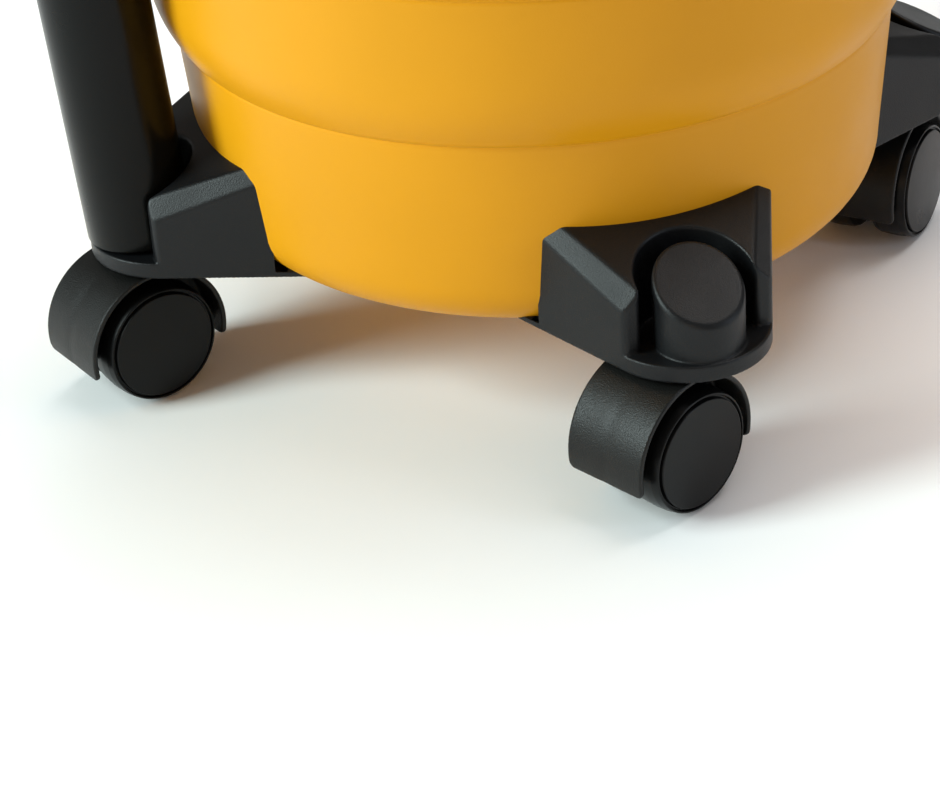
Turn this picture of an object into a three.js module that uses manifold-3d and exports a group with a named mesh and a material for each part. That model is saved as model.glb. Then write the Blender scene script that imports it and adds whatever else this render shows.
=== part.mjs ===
// Shop vacuum: round poly tub on four caster feet, with a lift-off motor head.
// Millimetres, +Z up, floor at z = 0, tub axis on Z, hose inlet facing -Y.

import * as THREE from 'three';
import { mergeVertices } from 'three/addons/utils/BufferGeometryUtils.js';
import Module from 'manifold-3d';

const wasm = await Module();
wasm.setup();

// ---------------------------------------------------------------- driving dimensions

const GAP = 0.3;                   // clearance between neighbouring pieces
const RAD = Math.PI / 180;

const CREASE_Z = 162;              // lower moulded crease of the tub
const CREASE_R = 170;
const UPPER_CREASE_Z = 235.7;
const UPPER_CREASE_R = 181.4;
const TUB_BOTTOM_Z = 64;
const TUB_BOTTOM_FILLET = 25;
const TUB_FOOT_R = 163.6;          // wall radius where the bottom fillet starts
const TUB_WALL = 3;
const TUB_TOP_R = 188.5;
const RIM_Z = 400;                 // top of the tub's rim
const RIM_R = 194;                 // outside of the rim's bead
const BEAD_HEIGHT = 12;
const TUB_SEGMENTS = 40;

const FOOT_ANGLES = { front_right: 45, front_left: -45, rear_right: 135, rear_left: -135 };
const FOOT_FLOOR_Z = 75.5;         // floor of the pocket that a tool stands in
const FOOT_UNDER_Z = 67.5;
const SIDE_LEAN = 23.1;            // plan angle of a foot's side walls, in degrees
const FOOT_NOSE_R = 38.2;          // round front of the foot, in plan
const FOOT_NOSE_V = 187;
const FOOT_SIDE = [
  [59.2, 145.7],
  [FOOT_NOSE_R * Math.cos(SIDE_LEAN * RAD), FOOT_NOSE_V + FOOT_NOSE_R * Math.sin(SIDE_LEAN * RAD)],
];
const FOOT_TOP_SLOPE = -0.365;     // the top falls away from the tub
const FOOT_TOP_AT_TUB = [161, 120.8];
const FOOT_CHAMFER = [[45.7, 161.1], [28, 199.2], [53.9, 158.6, 114.4]];
const POCKET_R = 26.9;
const POCKET_V = 200;
const POST_R = 20.3;
const POST_V = 203;
const POST_TOP_BACK = 40;          // height of the slanted post above the pocket floor
const POST_TOP_FRONT = 18;
const TONGUE_HALF = 44.5;          // tongue that slides under the tub
const TONGUE_BACK_V = 113;
const TONGUE_TOP_Z = 79.4;
const TONGUE_UNDER_Z = 71.5;
const FOOT_WALL = 3.6;

const SWIVEL_V = 190.3;            // swivel axis, measured from the tub axis
const TRAIL = 20.5;                // wheel centre behind the swivel axis
const WHEEL_R = 29.8;
const WHEEL_FACE = 25.3;           // outer disc face, from the caster's middle
const WHEEL_INNER = 6;
const WHEEL_SEGMENTS = 20;         // flats that keep the machine from creeping
const WHEEL_Z = WHEEL_R * Math.cos(Math.PI / WHEEL_SEGMENTS);
const HOOD_R = 36.8;
const HOOD_WALL = 2.5;
const HOOD_HALF = 21.8;
const HOOD_FROM = -15;             // hood cover in degrees round the axle
const HOOD_TO = 193;
const AXLE_R = 3;
const STEM_R = 4.7;
const STEM_BOTTOM = 56.4;
const STEM_TOP = 100;
const SOCKET_R = 6.2;
const CASTER_TURN = { front_right: 70.97, front_left: 62.3, rear_right: 87.9, rear_left: 55 };

const WAND_LEAN = 4.2 * RAD;
const WAND_R = 25.3;
const WAND_WALL = 2.2;
const WAND_LENGTH = 490;
const WAND_FOOT_V = 201;
const BELL_R = 28;
const BELL_LENGTH = 62;

const INLET_Z = 335;
const INLET_R = 33;
const INLET_BORE = 28.5;
const REACH_Y = 218;               // inlet mouth at the front, cord hook at the rear

const DRAIN_Z = 104;
const DRAIN_R = 15;

const DECK_Z = RIM_Z + 3;          // underside of the lid's deck
const DECK_TOP = DECK_Z + 4;
const SKIRT_R = 197.8;
const EYE_R = 45;                  // air intake in the deck
const COVER_FOOT_Z = 437.4;
const COVER_R = 146;               // foot of the motor cover
const COVER_TOP = 551;

const LATCH_X = 202;               // latch pivot
const LATCH_Z = 417;
const LATCH_HALF = 23;
const LATCH_PIN_R = 2.2;

const COVER_WALL = 3;
const VENT_LOW_Z = 464;            // lowest row of cooling slots
const VENT_PITCH = 13;
const VENT_HEIGHT = 4.5;
const VENT_TURNS = [-19, 19];      // middles of the slots in a row, in degrees

const POD_HALF = 34;               // switch pod on the front of the cover
const FACE_TILT = 14 * RAD;        // switch panel leans back
const SWITCH_Y = -COVER_R - 5.2;   // middle of the sloping switch panel
const SWITCH_Z = 476;
const SLEEVE_HALF = [18, 11];      // switch sleeve, half width and half height

const EXHAUST_Z = 480;
const EXHAUST_R = 32;
const EXHAUST_BORE = 28.5;
const GLAND_Z = 462;
const GLAND_TURN = 52 * RAD;       // from the rear towards the left
const GLAND_R = 9;
const CORD_R = 4;

const HANDLE_ARCH = [[0, 606], [40, 603.5], [66, 594], [80, 576], [86, 550], [88, 525]];
const HANDLE_DEEP = 20;            // section of the arch, through the hand
const HANDLE_WIDE = 30;
const GRIP_SKIN = 2.5;
const GRIP_HALF = 42;

const CAGE_R = 58;                 // basket that carries the filter
const FILTER_FOOT_Z = 258.3;
const FILTER_R = 86;
const SPINDLE_R = 6;
const FLOAT_R = 48;

const FAN_FOOT_Z = 410;            // fan housing, standing on the deck's gasket
const FAN_TOP_Z = 446;
const FAN_R = 92;
const IMPELLER_R = 84;
const IMPELLER_BLADES = 7;
const SHAFT_R = 5;
const MOTOR_R = 50;
const MOTOR_TOP_Z = 524;

const YELLOW = finish(0xe0a22b, 0.42);
const BLACK = finish(0x2a2b2d, 0.6);
const SATIN_BLACK = finish(0x343537, 0.38);
const HEAD_BLACK = finish(0x232427, 0.55);
const GREY = finish(0x54575b, 0.6);
const RUBBER = finish(0x17181a, 0.85);
const STEEL = finish(0xa9acae, 0.35, 0.9);
const PAPER = finish(0xe6e2d6, 0.9);
const RED = finish(0xa4211c, 0.4);

// ---------------------------------------------------------------- helpers

function finish(color, roughness, metalness = 0) {
  return new THREE.MeshStandardMaterial({ color, roughness, metalness });
}

// A closed geometry as a solid for joining and cutting.
function solid(geometry) {
  const plain = geometry.clone();
  plain.deleteAttribute('normal');
  plain.deleteAttribute('uv');
  const merged = mergeVertices(plain, 1e-4);
  const corners = Array.from(merged.index.array);
  const kept = [];
  for (let i = 0; i < corners.length; i += 3) {
    const [a, b, c] = corners.slice(i, i + 3);
    if (a !== b && b !== c && c !== a) kept.push(a, b, c);
  }
  const mesh = new wasm.Mesh({
    numProp: 3,
    vertProperties: new Float32Array(merged.attributes.position.array),
    triVerts: new Uint32Array(kept),
  });
  return new wasm.Manifold(mesh);
}

function geometryOf(shape) {
  const mesh = shape.getMesh();
  const geometry = new THREE.BufferGeometry();
  geometry.setAttribute('position', new THREE.BufferAttribute(new Float32Array(mesh.vertProperties), 3));
  geometry.setIndex(new THREE.BufferAttribute(new Uint32Array(mesh.triVerts), 1));
  geometry.computeVertexNormals();
  return geometry;
}

function piece(name, shape, material) {
  const geometry = shape.isBufferGeometry ? shape : geometryOf(shape);
  const mesh = new THREE.Mesh(geometry, material);
  mesh.name = name;
  return mesh;
}

// Profile of [radius, height] pairs turned about Z. It starts and ends on the axis or closes on itself.
function turned(profile, segments = 48) {
  const points = profile.map(([r, z]) => new THREE.Vector2(r, z));
  return new THREE.LatheGeometry(points, segments).rotateX(Math.PI / 2);
}

function ring(inner, outer, low, high, segments = 48) {
  return turned([[inner, low], [outer, low], [outer, high], [inner, high], [inner, low]], segments);
}

function disc(radius, low, high, segments = 48) {
  return turned([[0, low], [radius, low], [radius, high], [0, high]], segments);
}

function block(x0, x1, y0, y1, z0, z1) {
  const box = new THREE.BoxGeometry(x1 - x0, y1 - y0, z1 - z0);
  return box.translate((x0 + x1) / 2, (y0 + y1) / 2, (z0 + z1) / 2);
}

// Outline of [x, y] pairs pushed up from z = low to z = high.
function prism(outline, low, high) {
  const shape = new THREE.Shape(outline.map(([x, y]) => new THREE.Vector2(x, y)));
  const body = new THREE.ExtrudeGeometry(shape, { depth: high - low, bevelEnabled: false });
  return body.translate(0, 0, low);
}

// The same outline read as [y, z] and pushed along X, from -half to +half.
function crossPrism(outline, half) {
  const body = prism(outline, -half, half);
  return body.applyMatrix4(new THREE.Matrix4().makeBasis(
    new THREE.Vector3(0, 1, 0), new THREE.Vector3(0, 0, 1), new THREE.Vector3(1, 0, 0)));
}

// Geometry built about Z, laid down so that +Z points along +Y (front = 1) or -Y (front = -1).
function lay(geometry, front, x, z) {
  return geometry.rotateX(-front * Math.PI / 2).translate(x, 0, z);
}

function arc(cx, cy, radius, from, to, steps) {
  const points = [];
  for (let i = 0; i <= steps; i += 1) {
    const a = (from + (to - from) * i / steps) * RAD;
    points.push([cx + radius * Math.cos(a), cy + radius * Math.sin(a)]);
  }
  return points;
}

// ---------------------------------------------------------------- tub

// One moulded step: the wall swells by `swell` over `rise`, steepest at its foot.
function swell(radius, z, by, rise, steps) {
  const points = [];
  for (let i = 1; i <= steps; i += 1) {
    const s = i / steps;
    points.push([radius + by * (1 - (1 - s) ** 2.3), z + rise * s]);
  }
  return points;
}

// Outside of the tub wall from its flat bottom to the rim, moved out by `grow`.
function tubWall(grow) {
  const inner = TUB_FOOT_R - TUB_BOTTOM_FILLET;
  const fillet = arc(inner, TUB_BOTTOM_Z + TUB_BOTTOM_FILLET, TUB_BOTTOM_FILLET + grow, -90, 0, 4);
  const middle = swell(CREASE_R, CREASE_Z, UPPER_CREASE_R - CREASE_R - 0.4, 34, 4);
  const upper = swell(UPPER_CREASE_R, UPPER_CREASE_Z, 5.6, 26, 2);
  const wall = [[CREASE_R, CREASE_Z], ...middle, [UPPER_CREASE_R, UPPER_CREASE_Z], ...upper];
  return [...fillet, ...wall.map(([r, z]) => [r + grow, z])];
}

function tubOutside(grow) {
  const wall = tubWall(grow);
  return [[0, TUB_BOTTOM_Z - grow], ...wall, [TUB_TOP_R + grow, RIM_Z - BEAD_HEIGHT]];
}

// Everything inside the tub's outer surface, grown by the clearance: cuts what leans on the tub.
function tubKeepOut() {
  return solid(turned([...tubOutside(GAP), [TUB_TOP_R + GAP, RIM_Z], [0, RIM_Z]], TUB_SEGMENTS));
}

function tub() {
  const rim = [[RIM_R, RIM_Z - BEAD_HEIGHT], [RIM_R, RIM_Z], [TUB_TOP_R - 1, RIM_Z]];
  const floor = TUB_BOTTOM_Z + TUB_WALL;
  const inside = [
    [UPPER_CREASE_R + 2, UPPER_CREASE_Z + 20], [UPPER_CREASE_R - TUB_WALL, UPPER_CREASE_Z],
    [UPPER_CREASE_R - 4.5, CREASE_Z + 22], [CREASE_R - TUB_WALL, CREASE_Z], [TUB_FOOT_R - TUB_WALL, 91],
    [TUB_FOOT_R - 10, 73], [TUB_FOOT_R - TUB_BOTTOM_FILLET, floor], [0, floor],
  ];
  let body = solid(turned([...tubOutside(0), ...rim, ...inside], TUB_SEGMENTS));
  const whole = solid(turned([...tubOutside(0), [0, RIM_Z - BEAD_HEIGHT]], TUB_SEGMENTS));
  const roof = TONGUE_TOP_Z + GAP;
  for (const angle of Object.values(FOOT_ANGLES)) {
    const half = TONGUE_HALF + 0.5;
    const back = TONGUE_BACK_V - 0.4;
    const outer = half + TUB_WALL;
    const bump = block(-outer, outer, -172, -back + 3.6, TUB_BOTTOM_Z - 2, roof + TUB_WALL);
    const slot = block(-half, half, -180, -back, TUB_BOTTOM_Z - 4, roof);
    const inside = solid(bump.rotateZ(angle * RAD)).intersect(whole);
    body = body.add(inside).subtract(solid(slot.rotateZ(angle * RAD)));
  }
  const inletHole = lay(disc(INLET_R + GAP, 150, 230, 24), -1, 0, INLET_Z);
  const drainHole = lay(disc(DRAIN_R + GAP, 130, 200, 20), 1, 0, DRAIN_Z);
  return body.subtract(solid(inletHole)).subtract(solid(drainHole));
}

function inletPort(keepOut) {
  const flange = lay(disc(43, 170, 197, 24), -1, 0, INLET_Z);
  const collar = lay(disc(INLET_R, 172, REACH_Y, 24), -1, 0, INLET_Z);
  const lip = lay(disc(INLET_R + 2.5, REACH_Y - 6, REACH_Y, 24), -1, 0, INLET_Z);
  const bore = lay(disc(INLET_BORE, 165, REACH_Y + 5, 24), -1, 0, INLET_Z);
  const outside = solid(flange).subtract(keepOut).add(solid(lip));
  return outside.add(solid(collar)).subtract(solid(bore));
}

// Elbow behind the inlet that throws the stream sideways along the tub wall.
function inletDeflector() {
  const wall = [[INLET_R, 130], [INLET_R, 171.7], [INLET_BORE, 171.7], [INLET_BORE, 134]];
  const profile = [[0, 130], ...wall, [0, 134]];
  const cup = lay(turned(profile, 20), -1, 0, INLET_Z);
  const window = block(0, 40, -166, -138, INLET_Z - 24, INLET_Z + 24);
  return solid(cup).subtract(solid(window));
}

function drainSpout(keepOut) {
  const flange = lay(disc(24, 150, 169, 20), 1, 0, DRAIN_Z);
  const tube = lay(disc(DRAIN_R, 150, 190, 20), 1, 0, DRAIN_Z);
  const bore = lay(disc(11, 140, 200, 20), 1, 0, DRAIN_Z);
  return solid(flange).subtract(keepOut).add(solid(tube)).subtract(solid(bore));
}

function drainCap() {
  const profile = [[0, 192.6], [15.6, 192.6], [15.6, 172], [20, 172], [20, 195.5], [18.5, 197], [0, 197]];
  let cap = solid(lay(turned(profile, 18), 1, 0, DRAIN_Z));
  for (let i = 0; i < 6; i += 1) {
    const rib = block(-1.2, 1.2, 174, 194, 19, 21.4).rotateY((i * 60 + 30) * RAD).translate(0, 0, DRAIN_Z);
    cap = cap.add(solid(rib));
  }
  return cap;
}

// ---------------------------------------------------------------- feet and casters

// Plan of the foot as seen from above, shrunk by `inset` on every free side, from v = `from` outwards.
function footPlan(inset, from) {
  const [[u0, v0], [u1, v1]] = FOOT_SIDE;
  const slope = (u1 - u0) / (v1 - v0);
  const shift = inset / Math.cos(SIDE_LEAN * RAD);
  const at = (v) => u0 + slope * (v - v0) - shift;
  const nose = arc(0, -FOOT_NOSE_V, FOOT_NOSE_R - inset, -SIDE_LEAN, SIDE_LEAN - 180, 9);
  return [[-at(from), -from], [at(from), -from], ...nose].reverse();
}

function footTopAt(v) {
  return FOOT_TOP_AT_TUB[1] + FOOT_TOP_SLOPE * (v - FOOT_TOP_AT_TUB[0]);
}

// Block under the sloping top, lowered by `drop`.
function underTop(half, drop) {
  const outline = [[-260, 60], [-120, 60], [-120, footTopAt(120) - drop], [-260, footTopAt(260) - drop]];
  return solid(crossPrism(outline.reverse(), half));
}

// A foot points to -Y; its group turns it to its place.
function foot(keepOut) {
  const outline = footPlan(0, 140);
  let body = solid(prism(outline, FOOT_UNDER_Z, 140)).intersect(underTop(80, 0));
  for (const side of [-1, 1]) body = body.subtract(edgeChamfer(side));
  const pocket = solid(disc(POCKET_R, FOOT_FLOOR_Z, 150, 24).translate(0, -POCKET_V, 0));
  const mouth = block(-60, 60, -260, -POCKET_V - 2.5, FOOT_FLOOR_Z, 150);
  const throat = block(-POCKET_R, POCKET_R, -210, -POCKET_V, FOOT_FLOOR_Z, 150);
  body = body.subtract(pocket).subtract(solid(mouth)).subtract(solid(throat));
  body = body.subtract(hollowUnder());
  body = body.subtract(keepOut).add(post());
  const tongue = block(-TONGUE_HALF, TONGUE_HALF, -168, -TONGUE_BACK_V, TONGUE_UNDER_Z, TONGUE_TOP_Z);
  const bore = disc(SOCKET_R + GAP, FOOT_UNDER_Z - 5, STEM_TOP + 4, 12).translate(0, -SWIVEL_V, 0);
  return body.add(solid(tongue)).subtract(solid(bore));
}

// Flat cut along the long top edge of each side wall, through three corners of the chamfer.
function edgeChamfer(side) {
  const [[u0, v0], [u1, v1], [u2, v2, z2]] = FOOT_CHAMFER;
  const start = new THREE.Vector3(side * u0, -v0, footTopAt(v0));
  const along = new THREE.Vector3(side * u1, -v1, footTopAt(v1)).sub(start).normalize();
  const down = new THREE.Vector3(side * u2, -v2, z2).sub(start);
  const normal = new THREE.Vector3().crossVectors(along, down).normalize();
  if (normal.z < 0) normal.negate();
  const across = new THREE.Vector3().crossVectors(normal, along);
  const place = new THREE.Matrix4().makeBasis(along, across, normal).setPosition(start);
  return solid(block(-140, 140, -60, 60, 0, 60).applyMatrix4(place));
}

// Underside recess that leaves even walls.
function hollowUnder() {
  const below = underTop(80, FOOT_WALL);
  const plan = solid(prism(footPlan(FOOT_WALL, 171), FOOT_UNDER_Z - 2, 140)).intersect(below);
  const keep = solid(disc(POCKET_R + 3.2, 60, 150, 18).translate(0, -POCKET_V, 0));
  const front = solid(block(-60, 60, -260, -POCKET_V + 8, 60, 150));
  const sockets = solid(disc(11, 60, 150, 12).translate(0, -SWIVEL_V, 0));
  return plan.subtract(keep).subtract(front).subtract(sockets);
}

function post() {
  const back = FOOT_FLOOR_Z + POST_TOP_BACK;
  const front = FOOT_FLOOR_Z + POST_TOP_FRONT;
  const column = solid(disc(POST_R, FOOT_FLOOR_Z - 2, 130, 24).translate(0, -POST_V, 0));
  const near = -POST_V + POST_R;
  const far = -POST_V - POST_R;
  const outline = [[near, 60], [near, back], [far, front], [far, 60]];
  return column.intersect(solid(crossPrism(outline, 40)));
}

function casterSocket() {
  return ring(STEM_R + GAP, SOCKET_R, FOOT_UNDER_Z + 0.3, STEM_TOP + 3, 12);
}

function casterStem() {
  const collar = [[9, 64.2], [9, 67.2]];
  const profile = [[0, STEM_BOTTOM], [STEM_R, STEM_BOTTOM], [STEM_R, 64.2], ...collar, [STEM_R, 67.2]];
  return turned([...profile, [STEM_R, STEM_TOP - 2], [STEM_R - 1.5, STEM_TOP], [0, STEM_TOP]], 12);
}

// Round sector in the caster's XZ plane, pushed along Y from -half to +half.
function sector(outline, half) {
  const body = prism(outline, -half, half);
  return body.rotateX(Math.PI / 2);
}

function hoodBand(inner, outer, half, steps) {
  const outside = arc(-TRAIL, WHEEL_Z, outer, HOOD_FROM, HOOD_TO, steps);
  const inside = arc(-TRAIL, WHEEL_Z, inner, HOOD_TO, HOOD_FROM, steps);
  return sector([...outside, ...inside], half);
}

function casterHood() {
  const shell = solid(hoodBand(HOOD_R - HOOD_WALL, HOOD_R, HOOD_HALF, 14));
  const fan = [[-TRAIL, WHEEL_Z], ...arc(-TRAIL, WHEEL_Z, HOOD_R - 1, HOOD_FROM, HOOD_TO, 14)];
  const web = solid(sector(fan, 4.5));
  const hub = solid(disc(8.5, -5.4, 5.4, 12).rotateX(Math.PI / 2).translate(-TRAIL, 0, WHEEL_Z));
  const boss = solid(disc(9.5, 50, 63.9, 12));
  const wells = [-1, 1].map((side) => {
    const well = disc(HOOD_R - HOOD_WALL, 4.5, 30, 14);
    return solid(well.rotateX(side * Math.PI / 2).translate(-TRAIL, 0, WHEEL_Z));
  });
  const axleHole = solid(disc(AXLE_R + GAP, -10, 10, 12).rotateX(Math.PI / 2).translate(-TRAIL, 0, WHEEL_Z));
  const stemHole = solid(disc(STEM_R + GAP, STEM_BOTTOM - GAP, 80, 12));
  let body = boss;
  for (const well of wells) body = body.subtract(well);
  body = body.add(shell).add(web).add(hub);
  return body.subtract(axleHole).subtract(stemHole);
}

function casterAxle() {
  return disc(AXLE_R, -20, 20, 12).rotateX(Math.PI / 2).translate(-TRAIL, 0, WHEEL_Z);
}

// side = 1 faces -Y (the outer disc), side = -1 faces +Y.
function casterWheel(side) {
  const profile = [
    [0, 21], [AXLE_R + GAP, 21], [AXLE_R + GAP, WHEEL_INNER], [WHEEL_R, WHEEL_INNER],
    [WHEEL_R, WHEEL_FACE - 2.6], [WHEEL_R - 2.2, WHEEL_FACE], [0, WHEEL_FACE],
  ];
  const wheel = turned(profile, WHEEL_SEGMENTS).rotateZ(Math.PI / WHEEL_SEGMENTS);
  return wheel.rotateX(side * Math.PI / 2).translate(-TRAIL, 0, WHEEL_Z);
}

function caster(place) {
  const group = new THREE.Group();
  group.add(
    piece(`caster_hood_${place}`, casterHood(), BLACK),
    piece(`caster_stem_${place}`, casterStem(), STEEL),
    piece(`caster_axle_${place}`, casterAxle(), STEEL),
    piece(`wheel_outer_${place}`, casterWheel(1), SATIN_BLACK),
    piece(`wheel_inner_${place}`, casterWheel(-1), SATIN_BLACK),
  );
  return group;
}

// ---------------------------------------------------------------- wand

function wand() {
  const inner = WAND_R - WAND_WALL;
  const bell = WAND_LENGTH - BELL_LENGTH;
  return turned([
    [inner, 0], [WAND_R - 0.6, 0], [WAND_R, 1.5], [WAND_R, bell - 6],
    [BELL_R, bell], [BELL_R, WAND_LENGTH - 1], [BELL_R - 0.8, WAND_LENGTH], [WAND_R + 0.2, WAND_LENGTH],
    [WAND_R, bell + 2], [inner, bell - 4], [inner, 0],
  ], 24);
}

// ---------------------------------------------------------------- lid and latches

function lid() {
  let body = solid(turned([
    [EYE_R, DECK_Z], [RIM_R + 0.6, DECK_Z], [RIM_R + 0.6, RIM_Z - 7], [SKIRT_R, RIM_Z - 7],
    [SKIRT_R, RIM_Z + 9], [SKIRT_R - 2, RIM_Z + 14], [SKIRT_R - 6, RIM_Z + 17],
    [COVER_R - 1, 437], [COVER_R - 4.5, 437], [COVER_R - 4.5, 433.5],
    [188, RIM_Z + 13.5], [188, DECK_TOP], [EYE_R, DECK_TOP], [EYE_R, DECK_Z],
  ], TUB_SEGMENTS));
  for (const side of [-1, 1]) {
    const pinHole = lay(disc(LATCH_PIN_R + GAP, -40, 40, 10), 1, side * LATCH_X, LATCH_Z);
    for (const end of [-1, 1]) {
      const near = LATCH_HALF + 0.6;
      const far = near + 5;
      const y = end < 0 ? [-far, -near] : [near, far];
      const x = side < 0 ? [-LATCH_X - 5, -184] : [184, LATCH_X + 5];
      body = body.add(solid(block(x[0], x[1], y[0], y[1], DECK_Z + 1.5, LATCH_Z + 5)));
    }
    body = body.subtract(solid(pinHole));
  }
  return body;
}

function latchPin(side) {
  return lay(disc(LATCH_PIN_R, -LATCH_HALF - 5.4, LATCH_HALF + 5.4, 10), 1, side * LATCH_X, LATCH_Z);
}

// Over-centre latch: knuckle on the pin, plate down past the rim, nose under the bead, finger tab.
function latch(side) {
  const knuckle = lay(disc(5.6, -LATCH_HALF, LATCH_HALF, 14), 1, side * LATCH_X, LATCH_Z);
  const outline = [
    [200, 417], [204.6, 421], [207, 417], [207, 384], [212, 370], [209.4, 368.5], [203, 378],
    [194.6, 378.6], [194.6, 382], [199, 386.5], [199.6, 409],
  ];
  const plate = crossPrism(outline, LATCH_HALF).rotateZ(Math.PI / 2 * (side > 0 ? -1 : 1));
  const hole = lay(disc(LATCH_PIN_R + GAP, -40, 40, 10), 1, side * LATCH_X, LATCH_Z);
  return solid(plate).add(solid(knuckle)).subtract(solid(hole));
}

function rimSeal() {
  return ring(TUB_TOP_R + 0.5, RIM_R - 1, RIM_Z + GAP, DECK_Z - GAP, TUB_SEGMENTS);
}

// ---------------------------------------------------------------- motor cover

function coverProfile(grow) {
  return [
    [COVER_R + grow, COVER_FOOT_Z + 8], [COVER_R - 5 + grow, COVER_FOOT_Z + 13],
    [COVER_R - 11 + grow, COVER_TOP - 44], [COVER_R - 19 + grow, COVER_TOP - 28 + grow],
    [COVER_R - 37 + grow, COVER_TOP - 14 + grow], [COVER_R - 80, COVER_TOP - 4 + grow], [0, COVER_TOP + grow],
  ];
}

function coverKeepOut() {
  return solid(turned([[0, COVER_FOOT_Z], [COVER_R + GAP, COVER_FOOT_Z], ...coverProfile(GAP)], 32));
}

function switchPlace(geometry) {
  return geometry.rotateX(-FACE_TILT).translate(0, SWITCH_Y, SWITCH_Z);
}

function motorCover() {
  const outside = solid(turned([[0, COVER_FOOT_Z], [COVER_R, COVER_FOOT_Z], ...coverProfile(0)], 32));
  const hollow = coverProfile(-COVER_WALL).slice(1);
  const inside = solid(turned([[0, COVER_FOOT_Z - 2], [COVER_R - 8, COVER_FOOT_Z - 2], ...hollow], 32));
  const face = [[-32, 447], [9, 447], [11.2, 452], [-0.8, 500], [-8, 508], [-32, 510]]
    .map(([out, z]) => [-COVER_R - out, z]);
  const pod = solid(crossPrism(face.reverse(), POD_HALF));
  const podHollow = solid(block(4 - POD_HALF, POD_HALF - 4, 5 - COVER_R, 42 - COVER_R, 454, 500));
  let body = outside.add(pod).subtract(inside).subtract(podHollow);
  const [sleeveX, sleeveZ] = SLEEVE_HALF.map((half) => half + GAP);
  body = body.subtract(solid(switchPlace(block(-sleeveX, sleeveX, -20, 24, -sleeveZ, sleeveZ))));
  body = body.subtract(solid(lay(disc(EXHAUST_R + GAP, 100, 165, 24), 1, 0, EXHAUST_Z)));
  body = body.subtract(solid(glandPlace(disc(GLAND_R + GAP, 100, 165, 16))));
  for (const slot of coolingSlots()) body = body.subtract(solid(slot));
  return body;
}

// Three rows of two slots on the right and left of the cover.
function coolingSlots() {
  const slots = [];
  for (const facing of [0, 180]) {
    for (const turn of VENT_TURNS) {
      for (let row = 0; row < 3; row += 1) {
        const z = VENT_LOW_Z + row * VENT_PITCH;
        slots.push(block(105, 165, -33, 33, z, z + VENT_HEIGHT).rotateZ((facing + turn) * RAD));
      }
    }
  }
  return slots;
}

function glandPlace(geometry) {
  return geometry.rotateX(-Math.PI / 2).translate(0, 0, GLAND_Z).rotateZ(GLAND_TURN);
}

function cordGland(keepOut) {
  const flange = solid(glandPlace(disc(13, 110, COVER_R - 1, 16))).subtract(keepOut);
  const collar = solid(glandPlace(disc(GLAND_R, 126, COVER_R + 8, 16)));
  return flange.add(collar).subtract(solid(glandPlace(disc(CORD_R, 100, 165, 12))));
}

function exhaustPort(keepOut) {
  const flange = solid(lay(disc(EXHAUST_R + 9, 110, COVER_R - 4, 24), 1, 0, EXHAUST_Z)).subtract(keepOut);
  const collar = solid(lay(disc(EXHAUST_R, 124, COVER_R + 32, 24), 1, 0, EXHAUST_Z));
  return flange.add(collar).subtract(solid(lay(disc(EXHAUST_BORE, 100, 190, 24), 1, 0, EXHAUST_Z)));
}

function cordHook() {
  const outline = [
    [SKIRT_R + 0.5, 394], [REACH_Y - 1, 394], [REACH_Y, 395], [REACH_Y, 412], [REACH_Y - 3.5, 412],
    [REACH_Y - 3.5, 398], [SKIRT_R + 4.5, 398], [SKIRT_R + 4.5, 412], [SKIRT_R + 0.5, 412],
  ];
  return solid(crossPrism(outline, 30));
}

function switchBezel() {
  const flange = block(-22, 22, -2.8, -GAP, -15, 15);
  const [x, z] = SLEEVE_HALF;
  const sleeve = block(-x, x, -1, 9, -z, z);
  const window = block(2 - x, x - 2, -10, 20, 2 - z, z - 2);
  return solid(switchPlace(flange)).add(solid(switchPlace(sleeve))).subtract(solid(switchPlace(window)));
}

function switchRocker() {
  const outline = [[-6.5, -7.2], [-4.6, 0], [-6.5, 7.2], [4, 6.5], [4, -6.5]];
  const rocker = crossPrism(outline.reverse(), 15.6).rotateX(-10 * RAD).translate(0, 1, 0);
  return solid(switchPlace(rocker));
}

// ---------------------------------------------------------------- handle

function handlePath() {
  const left = HANDLE_ARCH.slice(1).reverse().map(([x, z]) => [-x, z]);
  return new THREE.CatmullRomCurve3([...left, ...HANDLE_ARCH].map(([x, z]) => new THREE.Vector3(x, 0, z)));
}

// Rounded rectangle carried along the handle's arch: `deep` through the grip, `wide` along Y.
function alongHandle(deep, wide, radius) {
  const x = wide / 2 - radius;
  const y = deep / 2 - radius;
  const corners = [[x, y, 0], [-x, y, 90], [-x, -y, 180], [x, -y, 270]];
  const outline = corners.flatMap(([cx, cy, from]) => arc(cx, cy, radius, from, from + 90, 2));
  const shape = new THREE.Shape(outline.map(([px, py]) => new THREE.Vector2(px, py)));
  const sweep = { steps: 14, extrudePath: handlePath(), bevelEnabled: false };
  return solid(new THREE.ExtrudeGeometry(shape, sweep));
}

function handle(keepOut) {
  return alongHandle(HANDLE_DEEP, HANDLE_WIDE, 6).subtract(keepOut);
}

function handleGrip() {
  const core = alongHandle(HANDLE_DEEP + 2 * GAP, HANDLE_WIDE + 2 * GAP, 6 + GAP);
  const sleeve = alongHandle(HANDLE_DEEP + 2 * GRIP_SKIN, HANDLE_WIDE + 2 * GRIP_SKIN, 8);
  return sleeve.subtract(core).intersect(solid(block(-GRIP_HALF, GRIP_HALF, -40, 40, 540, 640)));
}

// ---------------------------------------------------------------- filter and motor

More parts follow.
